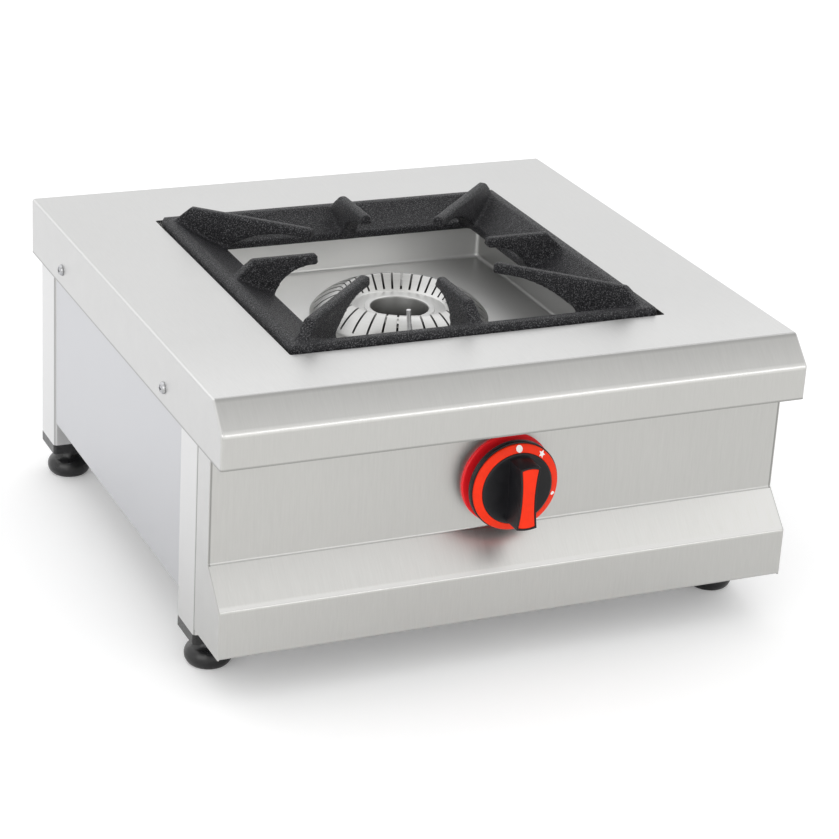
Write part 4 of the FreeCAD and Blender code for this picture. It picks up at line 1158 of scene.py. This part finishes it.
@dataclass
class DialMarks:
    """Plain marks printed on the knob's ring: a dot, a star and a small drop, in millimetres."""

    knob_height: float = 120.0
    inner: float = 24.1
    outer: float = 29.25
    inner_y: float = -193.4
    outer_y: float = -191.0
    proud: float = 0.06
    dot: float = 2.2
    dot_steps: int = 24
    star: float = 2.6
    star_waist: float = 0.48
    star_points: int = 5
    drop: float = 1.7
    drop_steps: int = 20
    bearings: Point3 = (0.0, 37.0, 105.0)

    def lay(self, points: Iterable[Point2], bearing: float) -> list[Point3]:
        """Lay a flat outline on the ring's slope.

        Args:
            points: Outline, across and outwards from the middle of the ring.
            bearing: Degrees clockwise from the top, as seen from the front.

        Returns:
            The outline's corners in the part's frame, in metres.
        """
        middle = (self.inner + self.outer) / 2
        slope = (self.outer_y - self.inner_y) / (self.outer - self.inner)
        placed = []
        for across, out in points:
            angle = math.radians(bearing) + across / middle
            radius = middle + out
            y = self.inner_y + slope * (radius - self.inner) - self.proud
            z = self.knob_height + radius * math.cos(angle)
            placed.append((radius * math.sin(angle) * MM, y * MM, z * MM))
        return placed

    def outlines(self) -> list[list[Point2]]:
        """Outlines of the dot, the star and the drop.

        Returns:
            The corners of each.
        """
        dot = [(self.dot * math.sin(t), self.dot * math.cos(t)) for t in turns(self.dot_steps)]
        reaches = [self.star, self.star * self.star_waist] * self.star_points
        star = [(r * math.sin(t), r * math.cos(t)) for r, t in zip(reaches, turns(len(reaches)))]
        drop = [(self.drop * math.sin(t) * math.sin(t / 2), self.drop * math.cos(t))
                for t in turns(self.drop_steps)]
        return [dot, star, drop]

    def build(self, dressing: Dressing) -> bpy.types.Object:
        """Build the marks as one object.

        Args:
            dressing: The stove's finishes.

        Returns:
            The marks' object.
        """
        shape = bmesh.new()
        for outline, bearing in zip(self.outlines(), self.bearings):
            corners = [shape.verts.new(p) for p in self.lay(outline, bearing)]
            centre = shape.verts.new(self.lay([(0.0, 0.0)], bearing)[0])
            for k, corner in enumerate(corners):
                shape.faces.new((centre, corner, corners[(k + 1) % len(corners)]))
        bmesh.ops.recalc_face_normals(shape, faces=shape.faces)
        for face in shape.faces:
            if face.normal.y > 0:
                face.normal_flip()
        thing = new_object("dial_marks", as_mesh("dial_marks", shape))
        dressing.paint(thing, "dial_white")
        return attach(thing, "knob")


@dataclass(frozen=True)
class Lamp:
    """A soft lamp: its place and size in metres and its power in watts."""

    name: str
    place: Point3
    size: Point2
    power: float

    def build(self, aim: Point3) -> None:
        """Add the lamp to the scene.

        Args:
            aim: The point it faces.
        """
        data = bpy.data.lights.new(self.name, "AREA")
        data.shape = "RECTANGLE"
        data.size, data.size_y = self.size
        data.energy = self.power
        thing = bpy.data.objects.new(self.name, data)
        thing.location = self.place
        way = Vector(aim) - Vector(self.place)
        thing.rotation_euler = way.to_track_quat("-Z", "Y").to_euler()
        bpy.context.scene.collection.objects.link(thing)


@dataclass
class Studio:
    """Plain floor, soft lights and the photograph's camera, in metres, millimetres of lens and degrees."""

    camera_place: Point3 = (-0.6826, -1.5049, 0.7905)
    azimuth: float = -25.03
    elevation: float = 23.02
    roll: float = 3.42
    lens: float = 111.3
    sensor: float = 36.0
    clip: Point2 = (0.05, 100.0)
    aim: Point3 = (0.0, 0.0, 0.12)
    floor_half: float = 14.0
    floor_colour: Colour = (0.95, 0.95, 0.95)
    floor_roughness: float = 0.9
    floor_lift: float = 0.15
    floor_fade: Point2 = (-0.3, 0.1)
    front_tone: Colour = (0.76, 0.755, 0.73)
    back_tone: Colour = (0.95, 0.95, 0.955)
    sky_tone: Colour = (0.70, 0.695, 0.675)
    sky_fade: Point2 = (-0.45, 0.35)
    fill: float = 0.92
    lamps: tuple[Lamp, ...] = (
        Lamp("Key", (-1.1, 0.8, 2.1), (2.2, 2.2), 5.0),
        Lamp("Top strip", (0.85, 0.7, 2.0), (2.0, 0.6), 3.0),
        Lamp("Front strip", (0.97, -2.2, 0.85), (2.0, 0.6), 5.0),
        Lamp("Edge strip", (-1.0, 2.1, 1.1), (0.8, 1.6), 1.5),
        Lamp("Left fill", (-1.9, -1.5, 0.9), (2.0, 1.5), 12.0),
    )

    def camera(self) -> None:
        """Set the camera where the photograph was taken."""
        a, e, r = (math.radians(v) for v in (self.azimuth, self.elevation, self.roll))
        back = Vector((math.sin(a) * math.cos(e), -math.cos(a) * math.cos(e), math.sin(e)))
        right = (-back).cross(Vector((0.0, 0.0, 1.0))).normalized()
        up = back.cross(right)
        turned_right = math.cos(r) * right + math.sin(r) * up
        turned_up = math.cos(r) * up - math.sin(r) * right
        data = bpy.data.cameras.new("Camera")
        data.lens = self.lens
        data.sensor_width = self.sensor
        data.clip_start, data.clip_end = self.clip
        data.dof.use_dof = False
        thing = bpy.data.objects.new("Camera", data)
        bpy.context.scene.collection.objects.link(thing)
        turn = Matrix((turned_right, turned_up, back)).transposed().to_4x4()
        thing.matrix_world = Matrix.Translation(self.camera_place) @ turn
        bpy.context.scene.camera = thing

    def floor(self) -> None:
        """Lay the floor under the feet, white to the camera and toned in reflections."""
        h = self.floor_half
        mesh = bpy.data.meshes.new("Floor")
        mesh.from_pydata([(-h, -h, 0), (h, -h, 0), (h, h, 0), (-h, h, 0)], [], [(0, 1, 2, 3)])
        thing = new_object("Floor", mesh)
        skin = Surface("Floor")
        _, y, _ = skin.xyz(skin.place())
        card = skin.mix(skin.ramp(y, *self.floor_fade, 0.0, 1.0), self.front_tone, self.back_tone)
        path = skin.add("ShaderNodeLightPath").outputs
        skin.lay({
            "Base Color": skin.mix(path["Is Glossy Ray"], self.floor_colour, card),
            "Emission Color": (*WHITE, 1.0),
            "Emission Strength": skin.times(path["Is Camera Ray"], self.floor_lift),
            "Roughness": self.floor_roughness,
            "Specular IOR Level": 0.0})
        mesh.materials.append(skin.material)

    def world(self) -> None:
        """Set a white surround that lights softly and is toned in reflections."""
        world = bpy.data.worlds.new("Studio")
        world.use_nodes = True
        bpy.context.scene.world = world
        graph = Graph(world.node_tree)
        path = graph.add("ShaderNodeLightPath").outputs
        seen = graph.math("MAXIMUM", graph.math("MAXIMUM", path["Is Camera Ray"], path["Is Glossy Ray"]),
                          path["Is Transmission Ray"])
        _, y, _ = graph.xyz(graph.add("ShaderNodeTexCoord").outputs["Generated"])
        card = graph.mix(graph.ramp(y, *self.sky_fade, 0.0, 1.0), self.sky_tone, WHITE)
        surround = world.node_tree.nodes["Background"].inputs
        graph.feed(surround["Color"], graph.mix(path["Is Glossy Ray"], WHITE, card))
        graph.feed(surround["Strength"], graph.ramp(seen, 0.0, 1.0, self.fill, 1.0))

    def build(self) -> None:
        """Set up the whole studio."""
        bpy.context.scene.view_settings.view_transform = "Standard"
        self.floor()
        self.world()
        for lamp in self.lamps:
            lamp.build(self.aim)
        self.camera()


BRASS = (0.72, 0.52, 0.24)
SHEET = (0.665, 0.665, 0.66)

FINISHES: dict[str, Finish] = {
    # The stainless finishes are one brushed sheet in several brightnesses: the differences between worktop,
    # front, side, post and basin steel are painted light and shade, set part by part.
    "stainless": BrushedSheet(SHEET, 0.36),
    "worktop_steel": EdgedSheet(SHEET, 0.36),
    "front_steel": LedgedSheet((0.69, 0.69, 0.685), 0.36),
    "side_steel": BrushedSheet((0.635, 0.64, 0.66), 0.36, tint=0.012),
    "post_steel": PostTube((0.78, 0.78, 0.78), 0.36, tint=0.01),
    "basin_steel": ShadedBasinSheet((0.9, 0.9, 0.89), 0.38, grain=Grain.ACROSS_Y, tint=0.008, relief=0.02),
    "grate_iron": Casting((0.007, 0.007, 0.009), 0.42, specular=0.24),
    "bowl_iron": Casting((0.09, 0.09, 0.09), 0.7, glint_colour=(0.16, 0.16, 0.16), frequency=500.0),
    "crown_aluminium": TurnedMetal((0.56, 0.56, 0.552), 0.34),
    "zinc_steel": Finish((0.62, 0.63, 0.66), 0.36, metallic=1.0),
    "bright_steel": Finish((0.8, 0.8, 0.81), 0.2, metallic=1.0),
    # screw_steel is bright steel painted darker, standing in for the shade and dark reflections round the
    # screw heads
    "screw_steel": Finish((0.5, 0.505, 0.52), 0.24, metallic=1.0),
    "tap_brass": Finish(BRASS, 0.3, metallic=1.0),
    "inlet_brass": ThreadedMetal(BRASS, 0.3),
    "lead_copper": Finish((0.75, 0.4, 0.26), 0.32, metallic=1.0),
    "black_plastic": Moulding((0.009, 0.009, 0.011), 0.4, specular=0.35),
    "foot_plastic": Moulding((0.012, 0.012, 0.013), 0.3, coat=0.25),
    "bezel_red": Moulding((1.0, 0.014, 0.022), 0.4, specular=0.35),
    "knob_orange": Moulding((0.88, 0.03, 0.003), 0.42, specular=0.2),
    "dial_white": Moulding((0.9, 0.9, 0.88), 0.5),
}

SPECIAL = {
    "top_plate": "worktop_steel", "front_panel": "front_steel", "gas_inlet": "inlet_brass",
    **{f"{tray}_panel": "side_steel" for tray in ("left_side", "right_side", "rear")},
    **{f"{end}_{side}_post": "post_steel" for end in ("front", "rear") for side in ("left", "right")},
}


def main() -> None:
    """Dress the frame, add the finer pieces and set the studio."""
    logging.basicConfig(level=logging.INFO)
    dressing = Dressing(FINISHES)
    dressing.paint_frame(SPECIAL)
    LOG.info("painted %d nodes", len(frame["nodes"]))
    pieces = [part.build(dressing) for part in (PanGrate(), BurnerCrown(), ApronScrews(), DialMarks())]
    for node, slot in (("control_knob", "black_plastic"), ("knob_ring", "knob_orange"),
                       ("knob_insert", "knob_orange")):
        pieces.append(SoftEdges().build(node, "knob", slot, dressing))
    for piece in pieces:
        LOG.info("%s: %d faces", piece.name, len(piece.data.polygons))
    Studio().build()


if __name__ == "__main__":
    main()
